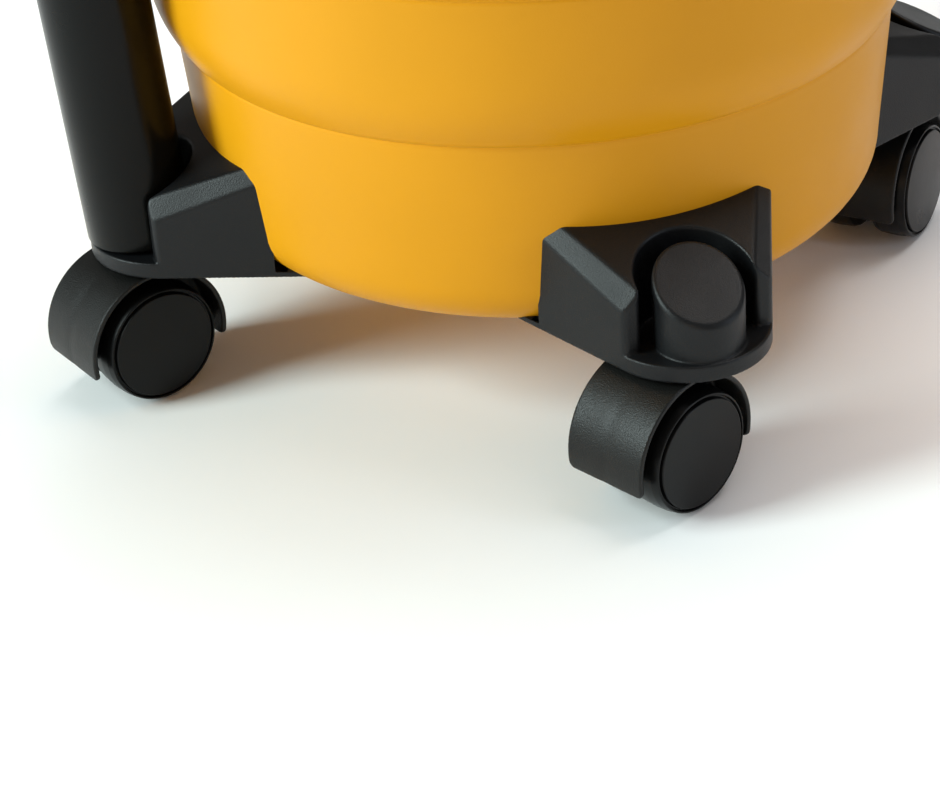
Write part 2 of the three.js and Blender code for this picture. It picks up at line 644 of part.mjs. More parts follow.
function filterCage() {
  let cage = solid(turned([
    [0, FILTER_FOOT_Z], [CAGE_R, FILTER_FOOT_Z], [CAGE_R, 399], [CAGE_R + 6, 399], [CAGE_R + 6, DECK_Z - GAP],
    [CAGE_R - 8, DECK_Z - GAP], [CAGE_R - 8, 399], [CAGE_R - 3, 396], [CAGE_R - 3, 262], [0, 262],
  ], 20));
  for (let i = 0; i < 8; i += 1) {
    const slot = block(40, 70, -9, 9, 275, 388).rotateZ((i * 45 + 22.5) * RAD);
    cage = cage.subtract(solid(slot));
  }
  return cage.add(solid(disc(SPINDLE_R, 234, 259, 12)));
}

function filterCartridge() {
  return ring(CAGE_R + 1, FILTER_R, FILTER_FOOT_Z, 398.6, 24);
}

function filterNut() {
  const hub = solid(disc(13, 238, 251.7, 14));
  const wings = solid(block(-24, 24, -2.5, 2.5, 239, 250));
  return hub.add(wings).subtract(solid(disc(SPINDLE_R + GAP, 230, 260, 12)));
}

function float() {
  const bore = FLOAT_R - 4;
  const inside = [[0, 306], [bore, 306], [bore, 262.4]];
  return turned([...inside, [FLOAT_R, 262.4], [FLOAT_R, 305], [bore, 312], [0, 314]], 20);
}

function fanHousing() {
  let body = solid(turned([
    [30, FAN_FOOT_Z], [FAN_R, FAN_FOOT_Z], [FAN_R, FAN_TOP_Z], [12, FAN_TOP_Z], [12, FAN_TOP_Z - 2.5],
    [FAN_R - 2.5, FAN_TOP_Z - 2.5], [FAN_R - 2.5, FAN_FOOT_Z + 2.5], [30, FAN_FOOT_Z + 2.5], [30, FAN_FOOT_Z],
  ], 20));
  for (let i = 0; i < 6; i += 1) {
    body = body.subtract(solid(block(80, 100, -22, 22, 420, 436).rotateZ((i * 60 + 30) * RAD)));
  }
  return body;
}

function impeller() {
  const lower = solid(ring(30, IMPELLER_R, 416, 418, 20));
  const upper = solid(ring(SHAFT_R + GAP, IMPELLER_R, 436, 438, 20));
  const hub = solid(ring(SHAFT_R + GAP, 10, 424, 442, 12));
  let wheel = upper.add(hub);
  for (let i = 0; i < IMPELLER_BLADES; i += 1) {
    const blade = block(32, IMPELLER_R - 2, -1, 1, 417, 437).rotateZ(-24 * RAD).translate(0, 8, 0);
    wheel = wheel.add(solid(blade.rotateZ(i * 2 * Math.PI / IMPELLER_BLADES)));
  }
  return wheel.add(lower);
}

function motorCan() {
  return turned([
    [6, FAN_TOP_Z + GAP], [MOTOR_R, FAN_TOP_Z + GAP], [MOTOR_R, 512], [MOTOR_R - 8, MOTOR_TOP_Z],
    [6, MOTOR_TOP_Z], [6, MOTOR_TOP_Z - 3], [MOTOR_R - 10, MOTOR_TOP_Z - 3],
    [MOTOR_R - 3, 511], [MOTOR_R - 3, 449.3], [6, 449.3], [6, FAN_TOP_Z + GAP],
  ], 16);
}

function armature() {
  const shaft = [[SHAFT_R, 508], [SHAFT_R, 532], [0, 532]];
  return turned([[0, 414], [SHAFT_R, 414], [SHAFT_R, 458], [27, 458], [27, 508], ...shaft], 16);
}

// ---------------------------------------------------------------- assembly

function latchOf(side) {
  return piece(side > 0 ? 'latch_right' : 'latch_left', latch(side), GREY);
}

const tubSide = tubKeepOut();
const coverSide = coverKeepOut();
const machine = new THREE.Group();

machine.add(
  piece('tub', tub(), YELLOW),
  piece('inlet_port', inletPort(tubSide), HEAD_BLACK),
  piece('inlet_deflector', inletDeflector(), HEAD_BLACK),
  piece('drain_spout', drainSpout(tubSide), HEAD_BLACK),
  piece('drain_washer', lay(ring(8, 14.5, 190.3, 192.3, 16), 1, 0, DRAIN_Z), RUBBER),
  piece('drain_cap', drainCap(), HEAD_BLACK),
);

for (const [place, angle] of Object.entries(FOOT_ANGLES)) {
  const corner = new THREE.Group();
  corner.rotation.z = angle * RAD;
  const socket = piece(`caster_socket_${place}`, casterSocket(), STEEL);
  socket.position.y = -SWIVEL_V;
  const wheels = caster(place);
  wheels.position.y = -SWIVEL_V;
  wheels.rotation.z = (CASTER_TURN[place] - angle) * RAD;
  corner.add(piece(`foot_${place}`, foot(tubSide), BLACK), socket, wheels);
  if (place === 'front_left') {
    const tube = piece('wand', wand(), SATIN_BLACK);
    tube.position.set(0, -WAND_FOOT_V, FOOT_FLOOR_Z + 0.5 + WAND_R * Math.sin(WAND_LEAN));
    tube.rotation.x = WAND_LEAN;
    corner.add(tube);
  }
  machine.add(corner);
}

machine.add(
  piece('rim_seal', rimSeal(), RUBBER),
  piece('lid', lid(), HEAD_BLACK),
  piece('latch_pin_right', latchPin(1), STEEL),
  piece('latch_pin_left', latchPin(-1), STEEL),
  latchOf(1),
  latchOf(-1),
  piece('motor_cover', motorCover(), HEAD_BLACK),
  piece('handle', handle(coverSide), GREY),
  piece('handle_grip', handleGrip(), RUBBER),
  piece('switch_bezel', switchBezel(), GREY),
  piece('switch_rocker', switchRocker(), RED),
  piece('cord_gland', cordGland(coverSide), RUBBER),
  piece('cord_hook', cordHook(), HEAD_BLACK),
  piece('exhaust_port', exhaustPort(coverSide), HEAD_BLACK),
  piece('filter_cage', filterCage(), GREY),
  piece('filter_cartridge', filterCartridge(), PAPER),
  piece('filter_retainer', ring(SPINDLE_R + GAP, FILTER_R + 2, 252, 258, 28), HEAD_BLACK),
  piece('filter_nut', filterNut(), HEAD_BLACK),
  piece('float', float(), GREY),
  piece('motor_gasket', ring(50, 90, DECK_TOP + GAP, 409.7, 28), RUBBER),
  piece('fan_housing', fanHousing(), GREY),
  piece('impeller', impeller(), STEEL),
  piece('armature', armature(), STEEL),
  piece('motor_can', motorCan(), STEEL),
);

export default machine;
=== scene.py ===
"""Shop vacuum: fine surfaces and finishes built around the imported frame. Shapes are in millimetres."""

import math

import bmesh
import bpy
import numpy as np
from mathutils import Matrix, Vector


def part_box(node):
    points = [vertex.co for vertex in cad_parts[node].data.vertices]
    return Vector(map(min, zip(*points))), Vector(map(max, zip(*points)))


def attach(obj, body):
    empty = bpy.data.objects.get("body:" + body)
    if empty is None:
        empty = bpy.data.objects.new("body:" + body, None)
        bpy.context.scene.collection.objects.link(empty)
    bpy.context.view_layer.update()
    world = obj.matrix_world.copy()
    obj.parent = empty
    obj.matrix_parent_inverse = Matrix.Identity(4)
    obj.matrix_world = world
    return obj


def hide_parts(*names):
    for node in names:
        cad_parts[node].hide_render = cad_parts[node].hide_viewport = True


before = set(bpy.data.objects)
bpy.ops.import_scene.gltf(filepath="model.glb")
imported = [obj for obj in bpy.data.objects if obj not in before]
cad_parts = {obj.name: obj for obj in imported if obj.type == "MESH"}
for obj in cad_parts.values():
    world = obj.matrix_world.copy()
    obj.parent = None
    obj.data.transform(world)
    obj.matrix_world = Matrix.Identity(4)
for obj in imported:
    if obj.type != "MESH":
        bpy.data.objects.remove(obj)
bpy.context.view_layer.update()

MM = 0.001
RAD = math.pi / 180
PLACES = {"front_right": 45, "front_left": -45, "rear_right": 135, "rear_left": -135}


# ---------------------------------------------------------------- camera, lights and floor

EYE = (0.6233, -1.2628, 0.7953)
HEADING = 27.995 * RAD
LOOK_DOWN = 0.5473
ROLL = -0.0660
LENS = 123.57


def set_camera():
    """A long lens, looking down on the machine from its front right, with a slight roll."""
    data = bpy.data.cameras.new("camera")
    data.lens = LENS
    data.sensor_width = 36
    camera = bpy.data.objects.new("camera", data)
    turn = Matrix.Rotation(HEADING, 4, "Z") @ Matrix.Rotation(math.pi / 2 - LOOK_DOWN, 4, "X")
    camera.matrix_world = Matrix.Translation(EYE) @ turn @ Matrix.Rotation(ROLL, 4, "Z")
    bpy.context.scene.collection.objects.link(camera)
    bpy.context.scene.camera = camera


def softbox(name, place, target, size, power, colour):
    """A rectangular area light at place, facing target."""
    data = bpy.data.lights.new(name, "AREA")
    data.shape = "RECTANGLE"
    data.size, data.size_y = size
    data.energy = power
    data.color = colour
    lamp = bpy.data.objects.new(name, data)
    lamp.location = place
    aim = Matrix.Translation(target).translation - lamp.location
    lamp.rotation_euler = aim.to_track_quat("-Z", "Y").to_euler()
    bpy.context.scene.collection.objects.link(lamp)


def set_studio():
    """Large key light on the left, cool strip on the right, large top light, warm fill in front and a dim
    warm room."""
    softbox("key_left", (-1.72, -1.80, 1.5), (0, 0, 0.2), (0.9, 1.8), 93, (0.84, 1.0, 0.99))
    softbox("strip_right", (2.3, 0.1, 0.9), (0, 0, 0.2), (0.35, 1.6), 11, (0.72, 0.84, 1.0))
    softbox("top_light", (0.1, 0.9, 2.8), (0, 0, 0.2), (2.4, 2.0), 64, (1.0, 1.0, 1.0))
    softbox("front_fill", (0.9, -2.6, 0.8), (0, 0, 0.15), (1.2, 0.9), 6, (1.0, 0.72, 0.50))
    world = bpy.data.worlds.new("room")
    world.use_nodes = True
    room = world.node_tree.nodes["Background"]
    room.inputs["Color"].default_value = (1.0, 0.93, 0.87, 1)
    room.inputs["Strength"].default_value = 0.18
    bpy.context.scene.world = world
    bpy.context.scene.view_settings.view_transform = "Standard"


# ---------------------------------------------------------------- materials

def linked(tree, kind, values, **sockets):
    """A node of that kind with plain values by socket name and links by keyword, spaces as underscores."""
    made = tree.nodes.new(kind)
    for socket, value in values.items():
        made.inputs[socket].default_value = value
    for socket, source in sockets.items():
        tree.links.new(source, made.inputs[socket.replace("_", " ")])
    return made


def spread(tree, source, low, high, start=0.3, end=0.7):
    """Source's values from start to end, stretched to low to high."""
    values = {"From Min": start, "From Max": end, "To Min": low, "To Max": high}
    return linked(tree, "ShaderNodeMapRange", values, Value=source).outputs["Result"]


def noise(tree, point, scale, detail=2.0):
    return linked(tree, "ShaderNodeTexNoise", {"Scale": scale, "Detail": detail}, Vector=point).outputs["Fac"]


def tinted(tree, factor, first, second):
    """The two colours mixed by factor."""
    mix = tree.nodes.new("ShaderNodeMix")
    mix.data_type = "RGBA"
    mix.inputs[6].default_value = (*first, 1)
    mix.inputs[7].default_value = (*second, 1)
    tree.links.new(factor, mix.inputs[0])
    return mix.outputs[2]


def shaded(colour, by):
    return tuple(min(1.0, c * by) for c in colour)


def started(name, metallic=0.0):
    """A new material: its tree, its shader and the piece's own coordinates."""
    material = bpy.data.materials.new(name)
    material.use_nodes = True
    tree = material.node_tree
    shader = tree.nodes["Principled BSDF"]
    shader.inputs["Metallic"].default_value = metallic
    point = tree.nodes.new("ShaderNodeTexCoord").outputs["Object"]
    return material, tree, shader, point


def dressed(tree, shader, colour, roughness, height=None, strength=1.0, depth=0.0):
    """The shader given its colour and roughness and, with a height, a bump depth millimetres deep."""
    tree.links.new(colour, shader.inputs["Base Color"])
    tree.links.new(roughness, shader.inputs["Roughness"])
    if height is not None:
        bump = linked(tree, "ShaderNodeBump", {"Strength": strength, "Distance": depth * MM}, Height=height)
        tree.links.new(bump.outputs["Normal"], shader.inputs["Normal"])


def moulded(name, colour, roughness, grain, depth, mottle=0.10, scuff=0.05, specular=0.5, coat=0.0):
    """Moulded plastic: fine sparked grain, cloudy colour, uneven gloss, a painted highlight lightening the
    convex edges, and faint long scuffs.
    """
    material, tree, shader, point = started(name)
    shader.inputs["Specular IOR Level"].default_value = specular
    shader.inputs["Coat Weight"].default_value = coat
    shader.inputs["Coat Roughness"].default_value = 0.18
    cloud = noise(tree, point, 9.0, 4.0)
    body = tinted(tree, spread(tree, cloud, 0, 1), shaded(colour, 1 - mottle), shaded(colour, 1 + mottle))
    # Painted highlight: convex edges, found by pointiness, are lightened up to 1.9 times the colour.
    edge = tree.nodes.new("ShaderNodeNewGeometry").outputs["Pointiness"]
    edge_highlight_mix = spread(tree, edge, 0, 0.35, 0.53, 0.60)
    highlighted_edges = tree.nodes.new("ShaderNodeMix")
    highlighted_edges.data_type = "RGBA"
    highlighted_edges.inputs[7].default_value = (*shaded(colour, 1.9), 1)
    tree.links.new(edge_highlight_mix, highlighted_edges.inputs[0])
    tree.links.new(body, highlighted_edges.inputs[6])
    fine = noise(tree, point, grain, 3.0)
    patch = noise(tree, point, 26.0, 5.0)
    gloss = spread(tree, patch, roughness - scuff, roughness + scuff)
    dressed(tree, shader, highlighted_edges.outputs[2], gloss, fine, 1.0, depth)
    return material


def turned_metal(name, colour, roughness, scale):
    """Metal with fine turning or brushing lines across Z, dull patches and a little tarnish."""
    material, tree, shader, point = started(name, 1.0)
    stretch = linked(tree, "ShaderNodeMapping", {"Scale": (scale * 0.04, scale * 0.04, scale)}, Vector=point)
    lines = noise(tree, stretch.outputs["Vector"], 1.0, 3.0)
    dull = noise(tree, point, 60.0, 4.0)
    tone = tinted(tree, spread(tree, dull, 0, 1), shaded(colour, 0.72), colour)
    gloss = spread(tree, lines, roughness - 0.1, roughness + 0.12)
    dressed(tree, shader, tone, gloss, lines, 0.35, 0.04)
    return material


def pleated_paper(name, colour):
    """Filter paper: soft fibres, grey dust settled in patches, no gloss."""
    material, tree, shader, point = started(name)
    shader.inputs["Specular IOR Level"].default_value = 0.15
    dust = noise(tree, point, 14.0, 6.0)
    tone = tinted(tree, spread(tree, dust, 0, 1, 0.35, 0.75), colour, shaded(colour, 0.62))
    fibres = noise(tree, point, 900.0, 5.0)
    dressed(tree, shader, tone, spread(tree, fibres, 0.82, 0.98), fibres, 0.8, 0.12)
    return material


def floor_paint(name):
    """Pale studio floor with a very faint unevenness."""
    material, tree, shader, point = started(name)
    shader.inputs["Specular IOR Level"].default_value = 0.1
    uneven = spread(tree, noise(tree, point, 1.3, 3.0), 0, 1)
    tone = tinted(tree, uneven, (0.95, 0.95, 0.95), (0.97, 0.97, 0.97))
    dressed(tree, shader, tone, spread(tree, noise(tree, point, 40.0), 0.75, 0.9))
    return material


YELLOW = moulded("satin_yellow_tub", (0.690, 0.298, 0.004), 0.42, 1100, 0.05, 0.035, 0.05, 0.20)
FOOT_BLACK = moulded("grained_foot_black", (0.0048, 0.0052, 0.0060), 0.40, 1500, 0.14, 0.14, 0.06, 0.27)
HOOD_BLACK = moulded("coarse_hood_black", (0.0048, 0.0048, 0.0044), 0.38, 1500, 0.20, 0.18, 0.07, 0.29)
WHEEL_BLACK = moulded("smooth_wheel_black", (0.0034, 0.0036, 0.0038), 0.32, 700, 0.02, 0.12, 0.06, 0.18)
WAND_BLACK = moulded("glossy_wand_black", (0.0035, 0.0036, 0.0033), 0.24, 500, 0.015, 0.12, 0.04, 0.13, 0.02)
HEAD_BLACK = moulded("grained_head_black", (0.0060, 0.0064, 0.0072), 0.42, 1300, 0.14, 0.12, 0.06, 0.30)
TRIM_GREY = moulded("grained_trim_grey", (0.105, 0.112, 0.120), 0.46, 1200, 0.10, 0.08, 0.06)
RUBBER = moulded("matt_rubber", (0.012, 0.012, 0.013), 0.78, 600, 0.08, 0.15, 0.08, 0.3)
SWITCH_RED = moulded("glossy_switch_red", (0.42, 0.022, 0.016), 0.30, 700, 0.02, 0.06, 0.05)
STEEL = turned_metal("brushed_steel", (0.62, 0.63, 0.64), 0.34, 9000)
MOTOR_STEEL = turned_metal("zinc_motor_steel", (0.48, 0.49, 0.50), 0.42, 5000)
FAN_ALLOY = turned_metal("spun_alloy", (0.76, 0.77, 0.78), 0.30, 7000)
COPPER = turned_metal("copper_winding", (0.72, 0.28, 0.13), 0.36, 12000)
PAPER = pleated_paper("filter_paper", (0.80, 0.77, 0.68))


# ---------------------------------------------------------------- outlines and surfaces

def rounded(corners, steps=5, closed=True):
    """Outline through [x, y, radius] corners. Each corner becomes a true arc, tangent to both its sides,
    no longer than half of the shorter side. An open outline keeps its two end points."""
    count = len(corners)
    points = []
    for i, (x, y, radius) in enumerate(corners):
        here = np.array([x, y], float)
        if radius <= 0 or (not closed and i in (0, count - 1)):
            points.append(here)
            continue
        back = np.array(corners[i - 1][:2], float) - here
        ahead = np.array(corners[(i + 1) % count][:2], float) - here
        room = 0.49 * min(np.linalg.norm(back), np.linalg.norm(ahead))
        back /= np.linalg.norm(back)
        ahead /= np.linalg.norm(ahead)
        between = math.acos(max(-1.0, min(1.0, float(back @ ahead))))
        if between > 3.1 or between < 0.02:
            points.append(here)
            continue
        reach = min(radius / math.tan(between / 2), room)
        middle = here + (back + ahead) / np.linalg.norm(back + ahead) * reach / math.cos(between / 2)
        first, last = here + back * reach - middle, here + ahead * reach - middle
        sweep = math.pi - between
        for k in np.linspace(0, 1, steps + 1):
            blend = math.sin((1 - k) * sweep) * first + math.sin(k * sweep) * last
            points.append(middle + blend / math.sin(sweep))
    return np.array(points)


def band_faces(rows, cols, wrap_rows, wrap_cols=True):
    """Quads of a grid of rows by cols points, joined round where asked."""
    i, j = np.meshgrid(np.arange(rows if wrap_rows else rows - 1),
                       np.arange(cols if wrap_cols else cols - 1), indexing="ij")
    i2, j2 = (i + 1) % rows, (j + 1) % cols
    return np.stack([i * cols + j, i * cols + j2, i2 * cols + j2, i2 * cols + j], -1).reshape(-1, 4)


def revolve(profile, steps=96, shape=None):
    """Profile of [radius, height] rows turned about Z: x = r cos a, y = r sin a, z = height.
    shape(r, a, z), where given, returns the radius to use instead. The profile either starts and ends
    on the axis or is a loop."""
    profile = np.asarray(profile, float)
    angle = np.arange(steps) * 2 * math.pi / steps
    radius, angle_grid = np.meshgrid(profile[:, 0], angle, indexing="ij")
    height = np.repeat(profile[:, 1:2], steps, 1)
    if shape is not None:
        radius = shape(radius, angle_grid, height)
    points = np.stack([radius * np.cos(angle_grid), radius * np.sin(angle_grid), height], -1)
    loop = profile[0, 0] > 1e-6 or profile[-1, 0] > 1e-6
    return points.reshape(-1, 3), band_faces(len(profile), steps, loop)


def prism(outline, low, high):
    """Outline of [x, y] points pushed up from z = low to z = high, closed by a flat face at each end."""
    outline = np.asarray(outline, float)
    count = len(outline)
    foot = np.column_stack([outline, np.full(count, low)])
    top = np.column_stack([outline, np.full(count, high)])
    faces = [list(f) for f in band_faces(2, count, False)]
    return np.vstack([foot, top]), faces + [list(range(count))[::-1], list(range(count, 2 * count))]


def across_x(part):
    """A prism drawn as [y, z] and pushed along Z, turned so that it is pushed along X."""
    points, faces = part
    return np.column_stack([points[:, 2], points[:, 0], points[:, 1]]), faces


def box(x0, x1, y0, y1, z0, z1):
    return prism([[x0, y0], [x1, y0], [x1, y1], [x0, y1]], z0, z1)


def loft(loops):
    """Equal loops of points, one behind the other, joined by bands; the first and last are closed flat."""
    loops = np.asarray(loops, float)
    rows, count = loops.shape[:2]
    faces = [list(f) for f in band_faces(rows, count, False)]
    last = (rows - 1) * count
    ends = [list(range(count))[::-1], list(range(last, last + count))]
    return loops.reshape(-1, 3), faces + ends


def plate_loop(half_x, half_y, radius, z, steps=5):
    """Rounded rectangle in plan at height z."""
    corners = [[half_x, half_y, radius], [-half_x, half_y, radius], [-half_x, -half_y, radius],
               [half_x, -half_y, radius]]
    outline = rounded(corners, steps)
    return np.column_stack([outline, np.full(len(outline), z)])


def moved(part, matrix):
    """The part's points carried by a 4 x 4 matrix in millimetres."""
    points, faces = part
    m = np.array(matrix, float)
    return points @ m[:3, :3].T + m[:3, 3], faces


def turn(axis, degrees):
    return Matrix.Rotation(degrees * RAD, 4, axis)


def shift(x, y, z):
    return Matrix.Translation((x, y, z))


def laid(part, front, z):
    """A part built about Z, laid down at height z: its +Z points to -Y (front = 1) or +Y (front = -1)."""
    return moved(part, shift(0, 0, z) @ turn("X", 90 * front))


def copies(part, count):
    """The part repeated round Z."""
    return [moved(part, turn("Z", i * 360 / count)) for i in range(count)]


# ---------------------------------------------------------------- rounded solids from distances

def both(a, b, radius):
    """Distance to the space inside a and b at once, with the edge between them rounded to the radius."""
    near = np.hypot(np.maximum(a + radius, 0), np.maximum(b + radius, 0))
    return np.minimum(-radius, np.maximum(a, b)) + near


def either(a, b, radius):
    """Distance to a and b joined, with a fillet of the radius between them."""
    return -both(-a, -b, radius)


def less(a, b, radius):
    """Distance to a without b, with the cut's edge rounded to the radius."""
    return both(a, -b, radius)


def slab(value, low, high):
    return np.maximum(low - value, value - high)


def net(distance, low, high, step):
    """Closed surface where distance(x, y, z) is zero. Each grid cell that the surface crosses holds one
    point, the mean of where its edges are crossed, drawn onto the surface along the distance's slope.
    Each crossed grid edge gives one quad between the four cells round it."""
    axes = [np.arange(a, b + step, step) for a, b in zip(low, high)]
    grid = np.stack(np.meshgrid(*axes, indexing="ij"), -1)
    value = distance(grid[..., 0], grid[..., 1], grid[..., 2])
    size = np.array(value.shape)
    total = np.zeros((*(size - 1), 3))
    count = np.zeros(size - 1)
    edges = []
    for a in range(3):
        ahead = [slice(None)] * 3
        behind = [slice(None)] * 3
        behind[a], ahead[a] = slice(0, -1), slice(1, None)
        v0, v1 = value[tuple(behind)], value[tuple(ahead)]
        crossed = (v0 < 0) != (v1 < 0)
        share = np.where(crossed, v0 / np.where(crossed, v0 - v1, 1), 0)
        place = grid[tuple(behind)].copy()
        place[..., a] += share * step
        b, c = (a + 1) % 3, (a + 2) % 3
        for db in (0, 1):
            for dc in (0, 1):
                cut = [slice(None)] * 3
                cut[b], cut[c] = slice(db, size[b] - 1 + db), slice(dc, size[c] - 1 + dc)
                total += place[tuple(cut)] * crossed[tuple(cut)][..., None]
                count += crossed[tuple(cut)]
        edges.append((a, b, c, crossed, v0 < 0))
    index = np.full(size - 1, -1)
    used = count > 0
    index[used] = np.arange(used.sum())
    points = total[used] / count[used][:, None]
    faces = []
    for a, b, c, crossed, inside_first in edges:
        at = np.argwhere(crossed)
        at = at[(at[:, b] > 0) & (at[:, c] > 0) & (at[:, b] < size[b] - 1) & (at[:, c] < size[c] - 1)]
        ring = []
        for db, dc in ((1, 1), (0, 1), (0, 0), (1, 0)):
            cell = at.copy()
            cell[:, b] -= db
            cell[:, c] -= dc
            ring.append(index[cell[:, 0], cell[:, 1], cell[:, 2]])
        quads = np.stack(ring, -1)
        outward = inside_first[at[:, 0], at[:, 1], at[:, 2]]
        faces.append(np.where(outward[:, None], quads, quads[:, ::-1]))
    for _ in range(3):
        points = pulled(points, distance)
    return points, np.vstack(faces)


def pulled(points, distance):
    """Points moved along the slope of the distance by the distance itself."""
    here = distance(*points.T)
    tiny = 0.02
    slope = np.stack([distance(*(points + tiny * np.eye(3)[k]).T) - here for k in range(3)], -1) / tiny
    steep = np.maximum((slope ** 2).sum(1), 0.2)
    return points - slope * np.clip(here / steep, -0.6, 0.6)[:, None]


# ---------------------------------------------------------------- making pieces

def mesh_of(name, parts, tidy=True):
    """One mesh of all parts, in metres, with doubles merged and faces turned outwards."""
    points, faces, base = [], [], 0
    for part_points, part_faces in parts:
        points.append(np.asarray(part_points, float) * MM)
        faces += [[int(k) + base for k in f] for f in part_faces]
        base += len(part_points)
    mesh = bpy.data.meshes.new(name)
    mesh.from_pydata(np.vstack(points), [], faces)
    if tidy:
        work = bmesh.new()
        work.from_mesh(mesh)
        bmesh.ops.remove_doubles(work, verts=work.verts, dist=2e-6)
        bmesh.ops.recalc_face_normals(work, faces=work.faces)
        work.to_mesh(mesh)
        work.free()
    mesh.update()
    return mesh


def loose(name, parts, place=None, tidy=True):
    """An object of the parts, placed in its mesh."""
    mesh = mesh_of(name, parts, tidy)
    if place is not None:
        m = place.copy()
        m.translation = m.translation * MM
        mesh.transform(m)
    made = bpy.data.objects.new(name, mesh)
    bpy.context.scene.collection.objects.link(made)
    return made


def applied(obj, kind, **settings):
    """One modifier, set and applied at once."""
    modifier = obj.modifiers.new("work", kind)
    for key, value in settings.items():
        setattr(modifier, key, value)
    graph = bpy.context.evaluated_depsgraph_get()
    mesh = bpy.data.meshes.new_from_object(obj.evaluated_get(graph))
    obj.modifiers.clear()
    old = obj.data
    obj.data = mesh
    bpy.data.meshes.remove(old)
    return obj


def joined(obj, cutter, operation):
    """Boolean of obj with a cutter object, which is then removed."""
    applied(obj, "BOOLEAN", operation=operation, solver="EXACT", object=cutter)
    bpy.data.objects.remove(cutter)
    return obj


def finished(obj, material, body, nodes, sharp=32, bevel=0.0, segments=2):
    """Shading, an optional rounded edge in millimetres, the material with its slot, and the piece's place
    in the frame."""
    mesh = obj.data
    mesh.shade_smooth()
    mesh.set_sharp_from_angle(angle=sharp * RAD)
    mesh.materials.clear()
    mesh.materials.append(material)
    if bevel > 0:
        edge = obj.modifiers.new("rounded_edges", "BEVEL")
        edge.width = bevel * MM
        edge.segments = segments
        edge.limit_method = "ANGLE"
        edge.angle_limit = 35 * RAD
        edge.harden_normals = True
    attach(obj, body)
    if nodes:
        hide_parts(*nodes)
    return obj


def piece(name, parts, material, body, nodes, place=None, sharp=32, bevel=0.0, segments=2, tidy=True):
    """A finished piece straight from its parts."""
    made = loose(name, parts, place, tidy)
    return finished(made, material, body, nodes, sharp, bevel, segments)


def middle(node):
    """Centre of a frame node in millimetres."""
    low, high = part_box(node)
    return (low + high) / 2 / MM


def pierced(profile, steps, open_at):
    """An open turned skin whose faces are left out where open_at(angle in degrees, height) is true."""
    profile = np.asarray(profile, float)
    angle = np.arange(steps) * 2 * math.pi / steps
    radius, spin = np.meshgrid(profile[:, 0], angle, indexing="ij")
    height = np.repeat(profile[:, 1:2], steps, 1)
    points = np.stack([radius * np.cos(spin), radius * np.sin(spin), height], -1).reshape(-1, 3)
    faces = band_faces(len(profile), steps, False)
    centre = points[faces].mean(1)
    degrees = np.degrees(np.arctan2(centre[:, 1], centre[:, 0]))
    return points, faces[~open_at(degrees, centre[:, 2])]


def thick_skin(name, part, wall, place=None):
    """A skin given its wall inwards."""
    skin = loose(name, [part], place)
    return applied(skin, "SOLIDIFY", thickness=wall * MM, offset=-1, use_even_offset=True)


# ---------------------------------------------------------------- tub

TUB_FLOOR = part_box("tub")[0].z / MM
RIM_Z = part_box("tub")[1].z / MM
FILLET = 25.0
FILLET_R = 138.6
WALL = 3.0
BANDS = ([89.0, 162.0, 196.0, 235.7, 261.7, 388.0], [163.6, 170.0, 181.0, 181.4, 187.0, 188.5])
STEPS_OUT = ((162.0, 170.0, 11.0, 34.0), (235.7, 181.4, 5.6, 26.0))
SLOT_HALF = 45.0
SLOT_BACK = 112.6
SLOT_ROOF = 79.7
INLET_Z = middle("inlet_port").z
INLET_MOUTH = -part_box("inlet_port")[0].y / MM
INLET_HOLE = 33.3
DRAIN_Z = middle("drain_cap").z
DRAIN_HOLE = 15.3


def tub_radius(z):
    """Outside radius at height z. Below the fillet's top: fillet centre radius + sqrt(25^2 - drop^2).
    Above it three straight bands, and at each crease a swell of by (1 - (1 - s)^2.3), where s is the
    share of the rise."""
    radius = np.interp(z, *BANDS)
    for start, foot, by, rise in STEPS_OUT:
        share = np.clip((z - start) / rise, 0, 1)
        inside = (z > start) & (z < start + rise)
        radius = np.where(inside, foot + by * (1 - (1 - share) ** 2.3), radius)
    drop = np.clip(BANDS[0][0] - z, 0, FILLET)
    return np.where(z < BANDS[0][0], FILLET_R + np.sqrt(FILLET ** 2 - drop ** 2), radius)


def tub_wall(heights, inward):
    """Rows of the wall, its creases eased over about a millimetre and a half."""
    eased = sum(tub_radius(np.maximum(heights + k, BANDS[0][0])) for k in np.linspace(-0.7, 0.7, 7)) / 7
    return np.column_stack([eased - inward, heights])


def tub_profile():
    """Bottom, fillet, wall, rolled rim, and the same again inside, WALL thinner."""
    turn_up = np.linspace(-90, 0, 13) * RAD
    heights = np.unique(np.concatenate([np.arange(91, 386, 5), np.arange(159, 167, 0.4),
                                        np.arange(167, 198, 1.4), np.arange(233, 240, 0.4),
                                        np.arange(240, 264, 1.8)]))
    centre = TUB_FLOOR + FILLET
    outer = np.column_stack([FILLET_R + FILLET * np.cos(turn_up), centre + FILLET * np.sin(turn_up)])
    less_wall = FILLET - WALL
    inner = np.column_stack([FILLET_R + less_wall * np.cos(turn_up), centre + less_wall * np.sin(turn_up)])
    rim = rounded([
        [188.5, 386, 0], [188.5, 388, 1.0], [194, 388, 2.0], [194, RIM_Z, 3.0], [187, RIM_Z, 1.6],
        [185.5, 391, 2.0], [185.5, 386, 0]], 5, False)
    floor = [[0, TUB_FLOOR], [30, TUB_FLOOR], [90, TUB_FLOOR]]
    inside_floor = [[90, TUB_FLOOR + WALL], [30, TUB_FLOOR + WALL], [0, TUB_FLOOR + WALL]]
    wall_in = tub_wall(heights, WALL)[::-1]
    wall_out = tub_wall(heights, 0)
    wall_out[:, 0] -= sum(0.55 * np.exp(-((heights - crease[0] - 0.6) / 0.9) ** 2) for crease in STEPS_OUT)
    return np.vstack([floor, outer, wall_out, rim, wall_in, inner[::-1], inside_floor])


